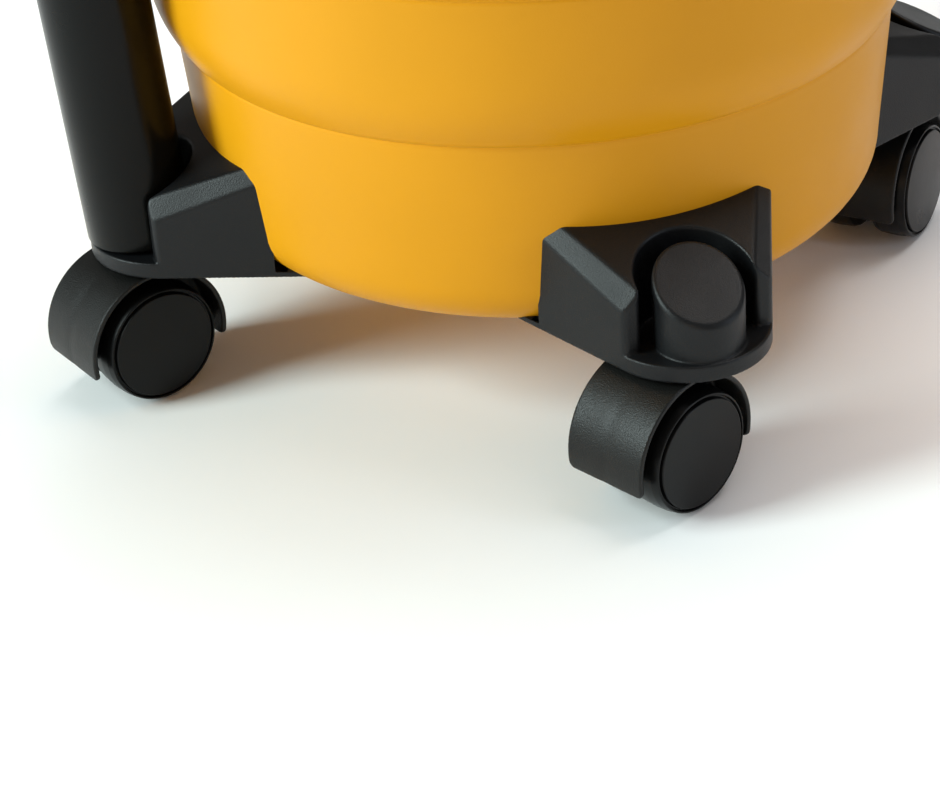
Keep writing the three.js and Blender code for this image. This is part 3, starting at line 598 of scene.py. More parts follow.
def tub_outside():
    """A closed solid that ends in the middle of the tub's wall, for trimming what stands in its floor."""
    turn_up = np.linspace(-90, 0, 13) * RAD
    bend = FILLET - WALL / 2
    outer = np.column_stack([FILLET_R + bend * np.cos(turn_up), TUB_FLOOR + FILLET + bend * np.sin(turn_up)])
    return np.vstack([[[0, TUB_FLOOR + WALL / 2]], outer, [[162.5, 105], [0, 105]]])


def make_tub():
    """The moulded tub with a slot under its floor for each foot's tongue."""
    tub = loose("tub_shell", [revolve(tub_profile(), 240)])
    roof = SLOT_ROOF + WALL
    half = SLOT_HALF + WALL
    for angle in PLACES.values():
        bump = loose("bump", [box(-half, half, -175, -SLOT_BACK + WALL, TUB_FLOOR - 2, roof)],
                     turn("Z", angle))
        joined(bump, loose("outside", [revolve(tub_outside(), 240)]), "INTERSECT")
        joined(tub, bump, "UNION")
        slot = box(-SLOT_HALF, SLOT_HALF, -185, -SLOT_BACK, TUB_FLOOR - 4, SLOT_ROOF)
        joined(tub, loose("slot", [slot], turn("Z", angle)), "DIFFERENCE")
    for front, height, radius in ((1, INLET_Z, INLET_HOLE), (-1, DRAIN_Z, DRAIN_HOLE)):
        hole = laid(revolve([[0, 140], [radius, 140], [radius, 230], [0, 230]], 64), front, height)
        joined(tub, loose("hole", [hole]), "DIFFERENCE")
    finished(tub, YELLOW, "tub", ["tub"], sharp=40)


def wrapped(part, radius, flat, depth):
    """A flange laid on the tub: rows behind `flat` bend round it, by radius - sqrt(radius^2 - x^2)."""
    points, faces = part
    points = points.copy()
    out = np.abs(points[:, 1])
    share = np.clip((flat - out) / depth, 0, 1)
    points[:, 1] -= np.sign(points[:, 1]) * share * (radius - np.sqrt(radius ** 2 - points[:, 0] ** 2))
    return points, faces


def make_ports():
    """Hose inlet with its flange and deflector, and the drain with washer and fluted cap."""
    inlet = rounded([
        [28.5, 172, 0.6], [33, 172, 0.6], [33, 186.2, 0.2], [43, 186.2, 0.8], [43, 197, 2.0],
        [35, 197, 2.5], [33, 200, 1.5], [33, 211, 1.0], [35.5, 212, 0.8], [35.5, INLET_MOUTH, 1.4],
        [28.5, INLET_MOUTH, 1.2]])
    port = wrapped(laid(revolve(inlet, 128), 1, INLET_Z), radius=187.8, flat=197, depth=8)
    screws = []
    for a in np.radians([45, 135, 225, 315]):
        seat = shift(38.4 * math.cos(a), -197, INLET_Z + 38.4 * math.sin(a))
        screws.append(moved(screw_head(3.6, 1.2), seat @ turn("X", 90)))
    piece("inlet_socket", [port], HEAD_BLACK, "tub", ["inlet_port"])
    piece("inlet_screws", screws, STEEL, "tub", [], sharp=28)
    cup = rounded([[0, 130.5, 0], [33, 130.5, 6], [33, 171.6, 0]], 6, False)
    rows = np.vstack([cup[:-1], np.column_stack([np.full(14, 33.0), np.linspace(138, 171.6, 14)])])
    skin = pierced(rows, 72, lambda a, z: (np.abs(a) < 47) & (z > 139) & (z < 165))
    elbow = thick_skin("inlet_elbow", laid(skin, 1, INLET_Z), 3.5)
    finished(elbow, HEAD_BLACK, "tub", ["inlet_deflector"])
    spout = rounded([
        [11, 150, 0.5], [15, 150, 0.5], [15, 163.6, 0.2], [24, 163.6, 0.8], [24, 169, 1.6], [15, 169, 1.2],
        [15, 190, 0.8], [11, 190, 0.6]])
    thread = []
    for z in (175.5, 179.5, 183.5):
        ridge = rounded([[14.6, z, 0], [15.5, z + 0.7, 0.2], [14.6, z + 1.4, 0]], 2)
        thread.append(laid(revolve(ridge, 72), -1, DRAIN_Z))
    base = wrapped(laid(revolve(spout, 96), -1, DRAIN_Z), radius=164.9, flat=169, depth=4)
    piece("drain_neck", [base, *thread], HEAD_BLACK, "tub", ["drain_spout"])
    washer = rounded([[8, 190.3, 0.6], [14.5, 190.3, 0.8], [14.5, 192.3, 0.8], [8, 192.3, 0.6]])
    seal = laid(revolve(washer, 72), -1, DRAIN_Z)
    piece("drain_seal", [seal], RUBBER, "tub", ["drain_washer"])
    cap = rounded([
        [0, 192.6, 0], [15.9, 192.6, 0.4], [15.9, 172, 0.4], [20, 172, 0.8], [20, 174, 0.3],
        [20, 193, 0.3], [20, 197, 2.2], [13, 197, 0.8], [12, 195.6, 0.8], [0, 195.6, 0]], 5, False)

    def flutes(r, a, z):
        bulge = 1.3 * (0.5 + 0.5 * np.cos(20 * a)) ** 2
        return r + np.where((r > 19) & (z > 173.5) & (z < 194.5), bulge, 0)

    outline = rounded([[-11.4, -2.2, 2], [11.4, -2.2, 2], [11.4, 2.2, 2], [-11.4, 2.2, 2]])
    bar = moved(prism(outline, 195, 198.2), turn("Z", 35))
    knob = [laid(part, -1, DRAIN_Z) for part in (revolve(cap, 160, flutes), bar)]
    piece("drain_knob", knob, HEAD_BLACK, "drain_cap", ["drain_cap"])


def screw_head(radius, height):
    """Pan head with a cross recess, its seat at z = 0."""
    dome = rounded([
        [0, -0.6, 0], [radius, -0.6, 0], [radius, height, radius * 0.45], [0, height * 1.3, 0]], 6, False)
    head, faces = revolve(dome, 32)
    lobe = np.minimum(np.abs(head[:, 0]), np.abs(head[:, 1]))
    reach = np.hypot(head[:, 0], head[:, 1])
    head = head.copy()
    head[:, 2] -= np.where((lobe < 0.16 * radius) & (reach < 0.62 * radius) & (head[:, 2] > 0),
                           0.55 * height, 0)
    return head, faces


# ---------------------------------------------------------------- feet

FLOOR_Z = 75.5
UNDER_Z = 67.5
FLANGE_Z = 70.3
SIDE_LEAN = 23.1 * RAD
NOSE_V = 187.0
NOSE_R = 38.2
TOP_SLOPE = 0.365
TOP_V = 161.0
TOP_Z = 120.8
CHAMFER = ((45.7, 161.1), (28.0, 199.2), (53.9, 158.6, 114.4))
POCKET_V = 200.0
POCKET_R = 26.9
POCKET_FRONT_V = 202.5
POST_V = 203.0
POST_R = 20.3
POST_HIGH = 115.5
POST_LOW = 93.5
SWIVEL_V = 190.3
SUNK = 2.2


def foot_top(out, z):
    """Distance above the sloping top, which falls by 0.365 for each millimetre outwards."""
    return (z - TOP_Z + TOP_SLOPE * (out - TOP_V)) / math.hypot(1, TOP_SLOPE)


def foot_chamfer(across, out, z):
    """Distance above the flat through the chamfer's three corners."""
    (u0, v0), (u1, v1), (u2, v2, z2) = CHAMFER
    first = np.array([u0, v0, TOP_Z - TOP_SLOPE * (v0 - TOP_V)])
    second = np.array([u1, v1, TOP_Z - TOP_SLOPE * (v1 - TOP_V)])
    normal = np.cross(second - first, np.array([u2, v2, z2]) - first)
    normal *= np.sign(normal[2]) / np.linalg.norm(normal)
    return (across - u0) * normal[0] + (out - v0) * normal[1] + (z - first[2]) * normal[2]


def foot_distance(x, y, z):
    """Foot pointing to -Y: walls round a pocket under a sloping chamfered top, base plate with a round
    nose, slanted post, tongue, caster bore and the recesses that keep the walls even. Its back runs SUNK
    into the tub's wall."""
    across, out = np.abs(x), -y
    side = across * math.cos(SIDE_LEAN) + (out - NOSE_V) * math.sin(SIDE_LEAN) - NOSE_R
    nose = np.hypot(across, out - NOSE_V) - NOSE_R
    plan = np.where((out - NOSE_V) * math.cos(SIDE_LEAN) > across * math.sin(SIDE_LEAN), nose, side)
    top = foot_top(out, z)
    behind = np.maximum(across - POCKET_R, POCKET_V - out)
    well = np.minimum(np.hypot(x, out - POCKET_V) - POCKET_R, behind)
    pocket = either(well, POCKET_FRONT_V - out, 2.4)
    chamfer = foot_chamfer(across, out, z)
    walls = both(both(less(plan, pocket, 2.2), top, 0.9), chamfer, 0.9)
    base = both(plan, z - FLOOR_Z, 0.7)
    body = both(np.minimum(walls, base), UNDER_Z - z, 0.6)
    hollow = np.maximum(np.maximum(plan + 3.6, 171 - out), np.maximum(top, chamfer) + 3.6)
    kept = np.minimum(np.hypot(x, out - POCKET_V) - POCKET_R - 3.2, np.hypot(x, out - SWIVEL_V) - 11)
    body = less(body, np.maximum(np.maximum(hollow, out - 192), -kept), 0.5)
    tub = tub_radius(np.maximum(z, TUB_FLOOR))
    keep_out = np.where(z > FLANGE_Z, np.maximum(tub, BANDS[1][0]), tub) - SUNK
    body = both(body, keep_out - np.hypot(x, y), 1.0)
    slant = (POST_HIGH - POST_LOW) / (2 * POST_R)
    post_top = (z - POST_HIGH + slant * (out - POST_V + POST_R)) / math.hypot(1, slant)
    post = both(both(np.hypot(x, out - POST_V) - POST_R, post_top, 2.0), FLOOR_Z - 3 - z, 0.4)
    tongue = both(both(across - SLOT_HALF + 0.5, slab(z, 71.5, 79.4), 0.6), slab(out, 113, 168), 0.6)
    body = np.minimum(either(body, post, 0.7), tongue)
    return less(body, both(np.hypot(x, out - SWIVEL_V) - 6.5, z - 104, 0.4), 0.5)


def make_feet():
    """Four equal feet, each turned to its place."""
    part = net(foot_distance, (-62, -228, 65.5), (62, -110, 123), 0.88)
    low = UNDER_Z + 0.3
    socket = rounded([[5.0, low, 0.3], [6.2, low, 0.3], [6.2, 103, 0.3], [5.0, 103, 0.3]], 3)
    for place, angle in PLACES.items():
        piece(f"foot_shell_{place}", [part], FOOT_BLACK, "tub", [f"foot_{place}"], turn("Z", angle),
              sharp=60, tidy=False)
        swivel = shift(*middle(f"caster_stem_{place}").xy, 0)
        piece(f"stem_socket_{place}", [revolve(socket, 48)], STEEL, "tub", [f"caster_socket_{place}"], swivel)


# ---------------------------------------------------------------- casters

HOOD_R = 36.8
HOOD_WALL = 2.5
HOOD_HALF = 21.8
HOOD_FROM = -15.0
HOOD_TO = 193.0
WHEEL_FACE = 25.3
WHEEL_INNER = 6.0
WHEEL_Z = middle("wheel_outer_front_right").z
TRAIL = 20.5


def hood_distance(x, y, z):
    """Caster body about its swivel axis: a curved cover round the wheels, a middle web with hub and boss.
    The cover is a rounded rectangle wrapped on a cylinder about the axle."""
    ahead, up = x + TRAIL, z - WHEEL_Z
    radius = np.hypot(ahead, up)
    angle = (np.degrees(np.arctan2(up, ahead)) + 90) % 360 - 90
    along = np.abs(angle - (HOOD_FROM + HOOD_TO) / 2) * RAD * HOOD_R
    length = (HOOD_TO - HOOD_FROM) / 2 * RAD * HOOD_R
    sink = 0.16 * np.exp(-(y / 3.2) ** 2)
    skin = np.abs(radius + sink - HOOD_R + HOOD_WALL / 2) - HOOD_WALL / 2
    shell = both(both(along - length, np.abs(y) - HOOD_HALF, 3.2), skin, 0.85)
    near = ahead * math.sin(HOOD_FROM * RAD) - up * math.cos(HOOD_FROM * RAD)
    far = ahead * -math.sin(HOOD_TO * RAD) + up * math.cos(HOOD_TO * RAD)
    fan = both(both(np.minimum(near, far), radius - HOOD_R + 1.2, 1.0), np.abs(y) - 4.5, 0.8)
    hub = both(radius - 8.5, np.abs(y) - 5.4, 0.6)
    boss = both(np.hypot(x, y) - 9.5, slab(z, 50, 63.9), 0.7)
    boss = np.maximum(boss, -np.maximum(radius - HOOD_R + HOOD_WALL, 4.5 - np.abs(y)))
    body = either(either(shell, fan, 1.0), hub, 0.8)
    body = either(body, boss, 0.8)
    body = less(body, radius - 3.3, 0.3)
    return less(body, both(np.hypot(x, y) - 5.0, 56.1 - z, 0.3), 0.3)


def wheel_parts():
    """Wheel about its axle, outer disc up: flat disc, fine groove, raised ring, round shoulder, crowned
    tread, and a ribbed recess inside."""
    tread = WHEEL_Z
    face = WHEEL_FACE
    profile = rounded([
        [0, face, 0], [25.9, face, 0.55], [26.2, face - 2.3, 0.25], [27.2, face - 2.3, 0.25],
        [27.4, face - 0.7, 0.3], [28.3, face - 0.95, 0.5], [tread - 0.35, face - 4.6, 2.5],
        [tread, 15.5, 12], [tread - 0.35, 8.2, 1.8], [28.2, WHEEL_INNER, 1.2], [24.5, WHEEL_INNER, 0.5],
        [23.6, 12.0, 0.8], [8.5, 12.0, 0.8], [8.0, WHEEL_INNER + 0.3, 0.5], [3.3, WHEEL_INNER + 0.3, 0.4],
        [3.3, 21, 0.2], [0, 21, 0]], 6, False)
    ribs = copies(prism([[8, -0.8], [24, -0.8], [24, 0.8], [8, 0.8]], 7.2, 12.6), 6)
    return [revolve(profile, 144), *ribs]


def make_casters():
    """Four casters: hood, stem, axle and two wheels each, at the place and turn of the frame's own."""
    hood = net(hood_distance, (-59, -24, 17), (19, 24, 69), 0.7)
    stem = rounded([
        [0, 56.4, 0], [4.7, 56.4, 0.6], [4.7, 64.2, 0.2], [9, 64.2, 0.6], [9, 67.2, 0.6], [4.7, 67.2, 0.3],
        [4.7, 92, 0.2], [4.2, 92.6, 0.2], [4.2, 94, 0.2], [4.7, 94.6, 0.2], [4.7, 98, 0.8],
        [3.2, 100, 0.6], [0, 100, 0]], 4, False)
    axle = rounded([[0, -20, 0], [3, -20, 0.7], [3, 20, 0.7], [0, 20, 0]], 4, False)
    wheel = wheel_parts()
    for place in PLACES:
        swivel, hub = middle(f"caster_stem_{place}"), middle(f"caster_axle_{place}")
        ahead = math.degrees(math.atan2(swivel.y - hub.y, swivel.x - hub.x))
        body = f"caster_{place}"
        base = shift(swivel.x, swivel.y, 0) @ turn("Z", ahead)
        at_axle = base @ shift(-TRAIL, 0, WHEEL_Z)
        piece(f"hood_{place}", [hood], HOOD_BLACK, body, [f"caster_hood_{place}"], base, sharp=60, tidy=False)
        piece(f"stem_{place}", [revolve(stem, 48)], STEEL, body, [f"caster_stem_{place}"], base)
        piece(f"axle_{place}", [revolve(axle, 40)], STEEL, body, [f"caster_axle_{place}"],
              at_axle @ turn("X", 90))
        for side, toward in (("outer", 90), ("inner", -90)):
            piece(f"{side}_wheel_{place}", wheel, WHEEL_BLACK, f"wheel_{side}_{place}",
                  [f"wheel_{side}_{place}"], at_axle @ turn("X", toward))


# ---------------------------------------------------------------- wand

WAND_R = 25.3
WAND_LEAN = 4.2
WAND_FOOT_V = 201.0
WAND_LENGTH = 490.0


def make_wand():
    """Plastic tube standing over the front left post, leaning outwards, with a belled socket at its top."""
    bell = WAND_LENGTH - 62
    inner = WAND_R - 2.2
    profile = rounded([
        [inner, 0, 0.9], [WAND_R, 0, 1.3], [WAND_R, 120, 0], [WAND_R, bell - 8, 3], [28, bell, 4],
        [28, bell + 6, 0.6], [28.6, bell + 7, 0.5], [28.6, bell + 9, 0.5], [28, bell + 10, 0.6],
        [28, WAND_LENGTH - 7, 0.5], [28.6, WAND_LENGTH - 6, 0.5], [28.6, WAND_LENGTH, 1.2],
        [25.5, WAND_LENGTH, 0.8], [WAND_R, bell + 2, 2], [inner, bell - 4, 1.5], [inner, 120, 0]], 5)
    stand = FLOOR_Z + 0.5 + WAND_R * math.sin(WAND_LEAN * RAD)
    place = turn("Z", PLACES["front_left"]) @ shift(0, -WAND_FOOT_V, stand) @ turn("X", WAND_LEAN)
    piece("wand_tube", [revolve(profile, 144)], WAND_BLACK, "wand", ["wand"], place)


# ---------------------------------------------------------------- lid and latches

LATCH_X = middle("latch_pin_right").x
LATCH_Z = middle("latch_pin_right").z
LATCH_HALF = 23.0
DECK_Z = RIM_Z + 3
COVER_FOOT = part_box("motor_cover")[0].z / MM
HOOK_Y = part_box("cord_hook")[1].y / MM


def across_y(outline, half, at=0.0):
    """Outline of [x, z] points pushed along Y, half to each side of at."""
    return moved(prism(outline, -half, half), shift(0, at, 0) @ turn("X", 90))


def make_lid():
    """Dished lid with a rolled skirt, pivot ears for the latches, seal, and deck screws from below."""
    rim = rounded([
        [45, DECK_Z, 1], [92, DECK_Z, 0], [194.6, DECK_Z, 0.8], [194.6, 393, 0.8], [197.8, 393, 1.1],
        [197.8, 409, 2.5], [195.8, 414, 2.5], [191.8, 417, 5], [185.5, 419.8, 1.2], [184.6, 419.0, 0.5],
        [183.2, 419.6, 0.5], [182.6, 421.2, 1.2], [152, 434.2, 1.5], [145, 437, 1.6], [141.5, 437, 0.8],
        [141.5, 433.5, 1.0], [188, 413.5, 3], [188, 407, 1.2], [92, 407, 0], [45, 407, 1]], 5)
    ears = []
    for side in (-1, 1):
        outline = rounded([
            [184, 404.5, 1], [207, 404.5, 3], [207, 421.5, 5], [198, 422.5, 5], [184, 420.5, 1]])
        for end in (-1, 1):
            ears.append(across_y(outline * [side, 1], 2.5, end * (LATCH_HALF + 3.1)))
    piece("lid_shell", [revolve(rim, 240), *ears], HEAD_BLACK, "head", ["lid"], bevel=0.7)
    seal = rounded([[189, 400.3, 0.5], [193, 400.3, 0.9], [193, 402.7, 0.9], [189, 402.7, 0.5]])
    piece("rim_gasket", [revolve(seal, 200)], RUBBER, "head", ["rim_seal"])
    seats = [turn("Z", a) @ shift(118, 0, DECK_Z) @ turn("X", 180) for a in range(30, 390, 60)]
    screws = [moved(screw_head(4.2, 1.5), seat) for seat in seats]
    piece("deck_screws", screws, STEEL, "head", [], sharp=28)


def make_latches():
    """Over-centre latch on its pin: knuckle, bowed plate with grip ribs, nose and finger tab."""
    pin = rounded([
        [0, -28.4, 0], [3.0, -28.4, 0.8], [3.0, -27.4, 0.2], [2.2, -27.4, 0.2], [2.2, 28.4, 0.8],
        [0, 28.4, 0]], 4, False)
    knuckle = rounded([
        [2.5, -LATCH_HALF, 0.3], [5.6, -LATCH_HALF, 0.8], [5.6, LATCH_HALF, 0.8],
        [2.5, LATCH_HALF, 0.3]], 3)
    plate = rounded([
        [200.2, 412, 1], [204.8, 420.4, 2], [207, 415, 4], [207, 384, 9], [212, 370, 1.2],
        [209.4, 368.5, 1.2], [203, 378, 5], [194.9, 378.6, 0.6], [194.9, 382, 1.0], [199, 386.5, 2],
        [199.6, 409, 1]], 5)
    rib = np.array([[206.4, 0, 0.3], [208, 0.7, 0.7], [208, 1.9, 0.7], [206.4, 2.6, 0.3]])
    ribs = [rounded(rib + [0, z, 0], 3) for z in (389.5, 394, 398.5, 403)]
    for side, name in ((1, "right"), (-1, "left")):
        face = turn("Z", 0 if side > 0 else 180)
        at_pin = face @ shift(LATCH_X, 0, LATCH_Z) @ turn("X", 90)
        parts = [moved(across_y(plate, LATCH_HALF - 0.1), face), moved(revolve(knuckle, 48), at_pin)]
        parts += [moved(across_y(rib, LATCH_HALF - 5), face) for rib in ribs]
        piece(f"latch_{name}_clip", parts, TRIM_GREY, f"latch_{name}", [f"latch_{name}"], bevel=0.6)
        piece(f"latch_{name}_pin", [moved(revolve(pin, 32), at_pin)], STEEL, "head", [f"latch_pin_{name}"])


# ---------------------------------------------------------------- motor cover, switch and handle

COVER_R = 146.0
VENT_Z = (464.0, 477.0, 490.0)
VENT_HIGH = 4.5
SWITCH_PLACE = shift(0, -COVER_R - 5.2, 476) @ turn("X", -14) @ turn("X", 90)
EXHAUST_Z = middle("exhaust_port").z
CORD_HOLE_Z = 462.0
GLAND = turn("Z", 52) @ shift(0, 0, CORD_HOLE_Z)


def round_from(degrees, centre, radius):
    """Length round a circle of the radius from the centre angle, the short way."""
    return np.abs(((degrees - centre + 180) % 360) - 180) * RAD * radius


def cover_openings(degrees, z):
    """True inside a cooling slot, the switch opening, the exhaust hole or the cord hole."""
    across = np.abs(((degrees + 90) % 180) - 90)
    in_row = np.zeros(z.shape, bool)
    for low in VENT_Z:
        in_row |= (z > low) & (z < low + VENT_HIGH)
    slots = in_row & (across > 5) & (across < 32.6)
    exhaust = np.hypot(round_from(degrees, 90, 138), z - EXHAUST_Z) < 35
    cord = np.hypot(round_from(degrees, 142, 139), z - CORD_HOLE_Z) < 10.5
    switch = (round_from(degrees, -90, 139) < 24) & (z > 459) & (z < 492)
    return slots | exhaust | cord | switch


def make_cover():
    """Domed motor cover: foot bead, leaning wall with three rows of cooling slots, soft shoulder, shallow
    crown. In front of it the switch pod with its frame and button."""
    lean = lambda z: 141 - 6 * (z - 450.4) / 56.6
    sills = {low + k for low in VENT_Z for k in (0, VENT_HIGH)}
    rows = [[lean(z), z] for z in sorted({456, 460, 473, 486, 497.5} | sills)]
    foot = rounded([
        [138, COVER_FOOT, 0], [146, COVER_FOOT, 1.2], [146, 445.4, 2.5], [141.2, 449.4, 3],
        [lean(456), 456, 0]], 5, False)
    crown = rounded([
        [lean(497.5), 497.5, 0], [135, 507, 30], [127, 523, 16], [109, 537, 26], [66, 547, 90],
        [20, 550.4, 60], [0, 551, 0]], 9, False)
    skin = pierced(np.vstack([foot[:-1], rows[:-1], crown]), 288, cover_openings)
    cover = thick_skin("cover_shell", skin, 3.0)
    finished(cover, HEAD_BLACK, "head", ["motor_cover"], sharp=30, bevel=0.5)
    face = rounded([
        [25, 446.6, 0], [-9, 446.6, 2.5], [-11.4, 452, 3], [0.8, 500, 4], [8, 507.5, 5], [25, 510, 0]])
    pod = loose("switch_pod", [across_x(prism(face + [-COVER_R, 0], -34, 34))])
    opening = loose("opening", [prism(plate_loop(18.4, 11.4, 1.5, 0)[:, :2], -30, 20)], SWITCH_PLACE)
    joined(pod, opening, "DIFFERENCE")
    finished(pod, HEAD_BLACK, "head", [], sharp=30, bevel=1.4, segments=3)
    sizes = ((22, 15, 3, 0.3), (22, 15, 3, 1.9), (21.2, 14.2, 2.6, 2.8), (16.8, 9.8, 1.4, 2.8),
             (16.1, 9.1, 1, 2.0), (16.1, 9.1, 1, -9), (18, 11, 1.2, -9), (18, 11, 1.2, 0.3))
    bezel = np.array([plate_loop(*size) for size in sizes])
    frame_part = bezel.reshape(-1, 3), band_faces(*bezel.shape[:2], True)
    piece("switch_frame", [moved(frame_part, SWITCH_PLACE)], TRIM_GREY, "head", ["switch_bezel"])
    rocker = rounded([[-6.5, -7.2, 0.8], [-4.7, 0, 26], [-6.5, 7.2, 0.8], [4, 6.5, 0.5], [4, -6.5, 0.5]], 8)
    tilted = SWITCH_PLACE @ turn("X", -90) @ shift(0, 1, 0) @ turn("X", -10)
    piece("switch_button", [moved(across_x(prism(rocker, -15.5, 15.5)), tilted)], SWITCH_RED,
          "switch_rocker", ["switch_rocker"], bevel=0.7)


def make_rear():
    """Exhaust socket, ribbed cord gland and cord hook."""
    port = rounded([
        [28.5, 124, 0.6], [32, 124, 0.6], [32, 128, 0.3], [41, 128, 0.5], [41, 142, 2.0], [34, 142, 2.0],
        [32, 145, 1.5], [32, 171, 1.0], [34.4, 172, 0.8], [34.4, 178, 1.4], [28.5, 178, 1.2]])
    piece("exhaust_socket", [laid(revolve(port, 128), -1, EXHAUST_Z)], HEAD_BLACK, "head", ["exhaust_port"])
    rib = np.array([[7.9, 146.2, 0.25], [9, 146.55, 0.25], [9, 147.15, 0.25], [7.9, 147.5, 0.25]])
    ribs = np.vstack([rib + [-0.25 * i, 1.3 * i, 0] for i in range(5)])
    gland = rounded([
        [4, 127, 0.3], [9, 127, 0.5], [9, 139, 0.3], [13, 139, 0.8], [13, 144.2, 1.4], [9, 145, 0.8],
        *ribs, [6.8, 154, 0.5], [4, 154, 0.5]], 3)
    piece("cord_inlet", [moved(laid(revolve(gland, 64), -1, 0), GLAND)], RUBBER, "head", ["cord_gland"])
    y = HOOK_Y
    hook = rounded([
        [198.3, 394, 0.8], [y - 1, 394, 2], [y, 396, 1], [y, 412, 1.4], [y - 3.5, 412, 1.4],
        [y - 3.5, 398, 3], [202.3, 398, 3], [202.3, 412, 1.2], [198.3, 412, 1.2]], 5)
    piece("cord_cleat", [across_x(prism(hook, -30, 30))], HEAD_BLACK, "head", ["cord_hook"], bevel=0.9,
          segments=3)


def through(points, steps):
    """Smooth curve through the points: on each stretch a cubic whose end slopes are half the step between
    the neighbours on either side."""
    p = np.asarray(points, float)
    slope = np.gradient(p, axis=0)
    s = np.linspace(0, 1, steps, endpoint=False)[None, :, None]
    ends = (1 - 3 * s**2 + 2 * s**3) * p[:-1, None] + (3 * s**2 - 2 * s**3) * p[1:, None]
    curve = ends + (s - 2 * s**2 + s**3) * slope[:-1, None] + (s**3 - s**2) * slope[1:, None]
    return np.vstack([curve.reshape(-1, p.shape[1]), p[-1]])


def along_arch(path, wide, deep, radius, swell):
    """Rounded rectangle carried along the arch in the XZ plane; swell grows it by a length per station."""
    slope = np.gradient(path, axis=0)
    slope /= np.linalg.norm(slope, axis=1)[:, None]
    across = np.column_stack([-slope[:, 1], slope[:, 0]])
    loops = []
    for centre, normal, grow in zip(path, across, swell):
        flat = plate_loop(wide / 2 + grow, deep / 2 + grow, radius, 0, 6)
        loops.append(np.column_stack([centre[0] + normal[0] * flat[:, 1], flat[:, 0],
                                      centre[1] + normal[1] * flat[:, 1]]))
    return np.array(loops)


def make_handle():
    """Carrying arch rooted in the cover, with a ribbed soft sleeve where the hand goes."""
    right = [(0, 606), (40, 603.5), (66, 594), (80, 576), (86, 550), (88, 525)]
    path = through([(-x, z) for x, z in right[:0:-1]] + right, 14)
    root = 2.5 * np.clip((556 - path[:, 1]) / 16, 0, 1) ** 2
    piece("handle_arch", [loft(along_arch(path, 30, 20, 6, root))], TRIM_GREY, "head", ["handle"])
    grip = path[np.abs(path[:, 0]) <= 42]
    fine = through(grip[::4], 16)
    run = np.concatenate([[0], np.cumsum(np.linalg.norm(np.diff(fine, axis=0), axis=1))])
    from_end = np.minimum(run, run[-1] - run)
    ribs = 0.55 * np.cos(run * 2 * math.pi / 5.0) * np.clip((from_end - 6) / 3, 0, 1)
    soft_end = 1.2 * np.clip(1 - from_end / 2, 0, 1) ** 2
    outer = along_arch(fine, 35, 25, 8, ribs - soft_end)
    inner = along_arch(fine, 30.6, 20.6, 6.3, np.zeros(len(fine)))
    tube = np.vstack([outer, inner[::-1]])
    piece("grip_sleeve", [(tube.reshape(-1, 3), band_faces(*tube.shape[:2], True))], RUBBER, "head",
          ["handle_grip"])


# ---------------------------------------------------------------- filter and motor

PLEATS = 56


def make_filter():
    """Cage, float, pleated cartridge with rubber ends, clamping plate and wing nut."""

    def windows(a, z):
        upright = np.abs((a + 360) % 45 - 22.5) < 9.5
        return upright & (z > 275) & (z < 388) & (np.abs(z - 331) > 4)

    heights = [262, 275, 301, 327, 335, 361, 388, 396]
    wall = pierced([[58, z] for z in heights], 144, windows)
    cage = thick_skin("cage_shell", wall, 2.8)
    finished(cage, TRIM_GREY, "head", ["filter_cage"], sharp=30, bevel=0.5)
    flange = rounded([
        [50, 399, 0.4], [55.2, 395.5, 0.5], [58, 395.5, 0.3], [58, 399, 0.8], [64, 399, 0.6],
        [64, 402.7, 0.6], [50, 402.7, 0.5]])
    turn_of_thread = np.array([[6, 0, 0.15], [5.3, 0.45, 0.15], [5.3, 0.9, 0.15], [6, 1.35, 0.15]])
    thread = np.vstack([turn_of_thread + [0, z, 0] for z in np.arange(236, 252, 1.8)])
    foot = rounded([
        [0, 234, 0], [6, 234, 1.0], *thread, [6, 258.3, 0.5], [58, 258.3, 0.8], [58, 262.2, 0.6],
        [0, 262.2, 0]], 3, False)
    cage_ends = [revolve(flange, 120), revolve(foot, 72)]
    piece("cage_ends", cage_ends, TRIM_GREY, "head", [])
    bob = rounded([
        [0, 306, 0], [44, 306, 1], [44, 262.4, 0.8], [48, 262.4, 1.0], [48, 305, 4], [44, 312, 4],
        [0, 314, 0]], 6, False)
    piece("float_cup", [revolve(bob, 96)], TRIM_GREY, "float", ["float"])

    def pleat(radius, angle, z):
        fold = 1 - np.abs(((angle * PLEATS / (2 * math.pi)) % 1) * 2 - 1)
        return np.where(radius > 70, 63 + 20 * (1 - (1 - fold) ** 1.15), radius)

    paper = [[84, z] for z in (262, 290, 326, 362, 395)] + [[60.5, 395], [60.5, 262]]
    piece("pleated_paper", [revolve(paper, PLEATS * 8, pleat)], PAPER, "head", ["filter_cartridge"], sharp=50)
    end = np.array([[59.2, 0, 0.8], [86, 0, 2.2], [86, 8.6, 2.2], [59.2, 8.6, 0.8]])
    ends = [revolve(rounded(end + [0, z, 0]), 144) for z in (258.4, 390)]
    piece("cartridge_ends", ends, RUBBER, "head", [])
    plate = rounded([
        [6.3, 252, 0.4], [20, 252, 0.5], [24, 253.6, 1.5], [74, 253.6, 1.5], [78, 252, 1.5],
        [88, 252, 1.2], [88, 258, 1.5], [6.3, 258, 0.4]])
    piece("clamp_plate", [revolve(plate, 144)], HEAD_BLACK, "head", ["filter_retainer"])
    hub = rounded([[6.3, 238, 0.5], [13, 238, 1.5], [13, 249, 1.0], [14.5, 251.7, 0.6], [6.3, 251.7, 0.4]])
    wing = rounded([[9, 240, 1], [22, 238.6, 3.5], [24, 244, 4], [20, 250, 4], [9, 249, 1]])
    wings = [across_y(wing * [side, 1], 2.5) for side in (-1, 1)]
    piece("wing_nut", [revolve(hub, 72), *wings], TRIM_GREY, "filter_nut", ["filter_nut"], bevel=0.8)


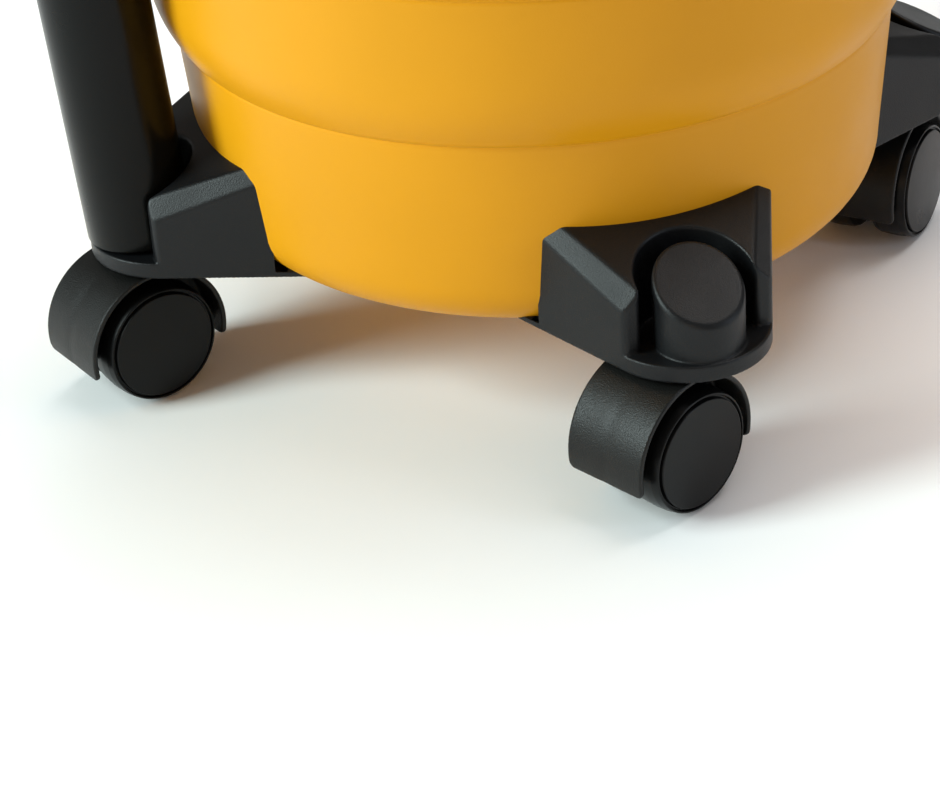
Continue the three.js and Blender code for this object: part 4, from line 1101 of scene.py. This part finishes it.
def make_motor():
    """Gasket, fan housing, fan with swept blades, armature with windings and commutator, motor can."""
    ring = rounded([[50, 407.3, 0.5], [90, 407.3, 0.8], [90, 409.7, 0.8], [50, 409.7, 0.5]])
    piece("deck_gasket", [revolve(ring, 120)], RUBBER, "head", ["motor_gasket"])
    slots = lambda a, z: (np.abs((a + 390) % 60 - 30) < 13) & (z > 420) & (z < 436)
    wall = rounded([
        [30.5, 410, 0], [60, 410, 0], [92, 410, 2.5], [92, 420, 0], [92, 436, 0], [92, 446, 4],
        [60, 446, 0], [12.5, 446, 0]], 5, False)
    housing = thick_skin("fan_case", pierced(wall, 144, slots), 2.4)
    finished(housing, MOTOR_STEEL, "head", ["fan_housing"], sharp=30, bevel=0.4)
    low = rounded([[30, 416, 0.3], [34, 415, 0.8], [84, 416, 0.5], [84, 418, 0.5], [30, 418, 0.3]])
    high = rounded([
        [5.3, 424, 0.3], [10, 424, 0.8], [10, 436, 1.5], [84, 436, 0.5], [84, 438, 0.5], [10, 438, 1.5],
        [10, 442, 0.8], [5.3, 442, 0.3]])
    radius = np.linspace(30, 82, 14)
    bend = -0.85 * np.log(radius / 30)
    edges = [bend - 0.8 / radius, bend + 0.8 / radius]
    back, front = [np.column_stack([radius * np.cos(a), radius * np.sin(a)]) for a in edges]
    blade = prism(np.vstack([back, front[::-1]]), 417.6, 436.4)
    piece("fan_wheel", [revolve(low, 120), revolve(high, 120), *copies(blade, 7)], FAN_ALLOY, "rotor",
          ["impeller"])
    core = lambda r, a, z: np.where(r > 24, r - 1.6 * (np.cos(12 * a) > 0.86), r)
    shaft = rounded([[0, 414, 0], [5, 414, 0.8], [5, 532, 0.8], [0, 532, 0]], 4, False)
    stack = rounded([[4.8, 462, 0.2], [27, 462, 0.4], [27, 488, 0.4], [4.8, 488, 0.2]], 3)
    piece("armature_core", [revolve(shaft, 48), revolve(stack, 144, core)], MOTOR_STEEL, "rotor",
          ["armature"])
    bars = lambda r, a, z: np.where(r > 11, r - 0.5 * (np.cos(24 * a) > 0.9), r)

    def strands(r, a, z):
        dip = 1.0 * (0.5 + 0.5 * np.cos(12 * a)) ** 3 + 0.25 * np.cos(120 * a)
        return np.where(r > 12, r - dip, r)

    commutator = rounded([[4.8, 498, 0.2], [12, 498, 0.4], [12, 510, 0.4], [4.8, 510, 0.2]], 3)
    copper = []
    for low, high in ((455.5, 462.4), (487.6, 496)):
        coil = rounded([[9, low, 2], [24, low, 4], [24, high, 4], [9, high, 2]])
        copper.append(revolve(coil, 360, strands))
    copper.append(revolve(commutator, 192, bars))
    piece("armature_winding", copper, COPPER, "rotor", [])
    can = rounded([
        [6, 446.3, 0.5], [50, 446.3, 2], [50, 512, 6], [42, 524, 5], [18, 524, 1], [16, 526.5, 1.5],
        [6, 526.5, 0.6], [6, 521, 0.5], [40, 521, 4], [47, 511, 5], [47, 449.3, 1], [6, 449.3, 0.5]], 6)
    piece("motor_shell", [revolve(can, 120)], MOTOR_STEEL, "head", ["motor_can"])


# ---------------------------------------------------------------- assembly

def make_floor():
    half = 6000
    floor = loose("studio_floor", [box(-half, half, -half, half, -20, -0.2)])
    floor.data.materials.append(floor_paint("pale_floor"))


set_camera()
set_studio()
make_floor()
make_tub()
make_ports()
make_feet()
make_casters()
make_wand()
make_lid()
make_latches()
make_cover()
make_rear()
make_handle()
make_filter()
make_motor()
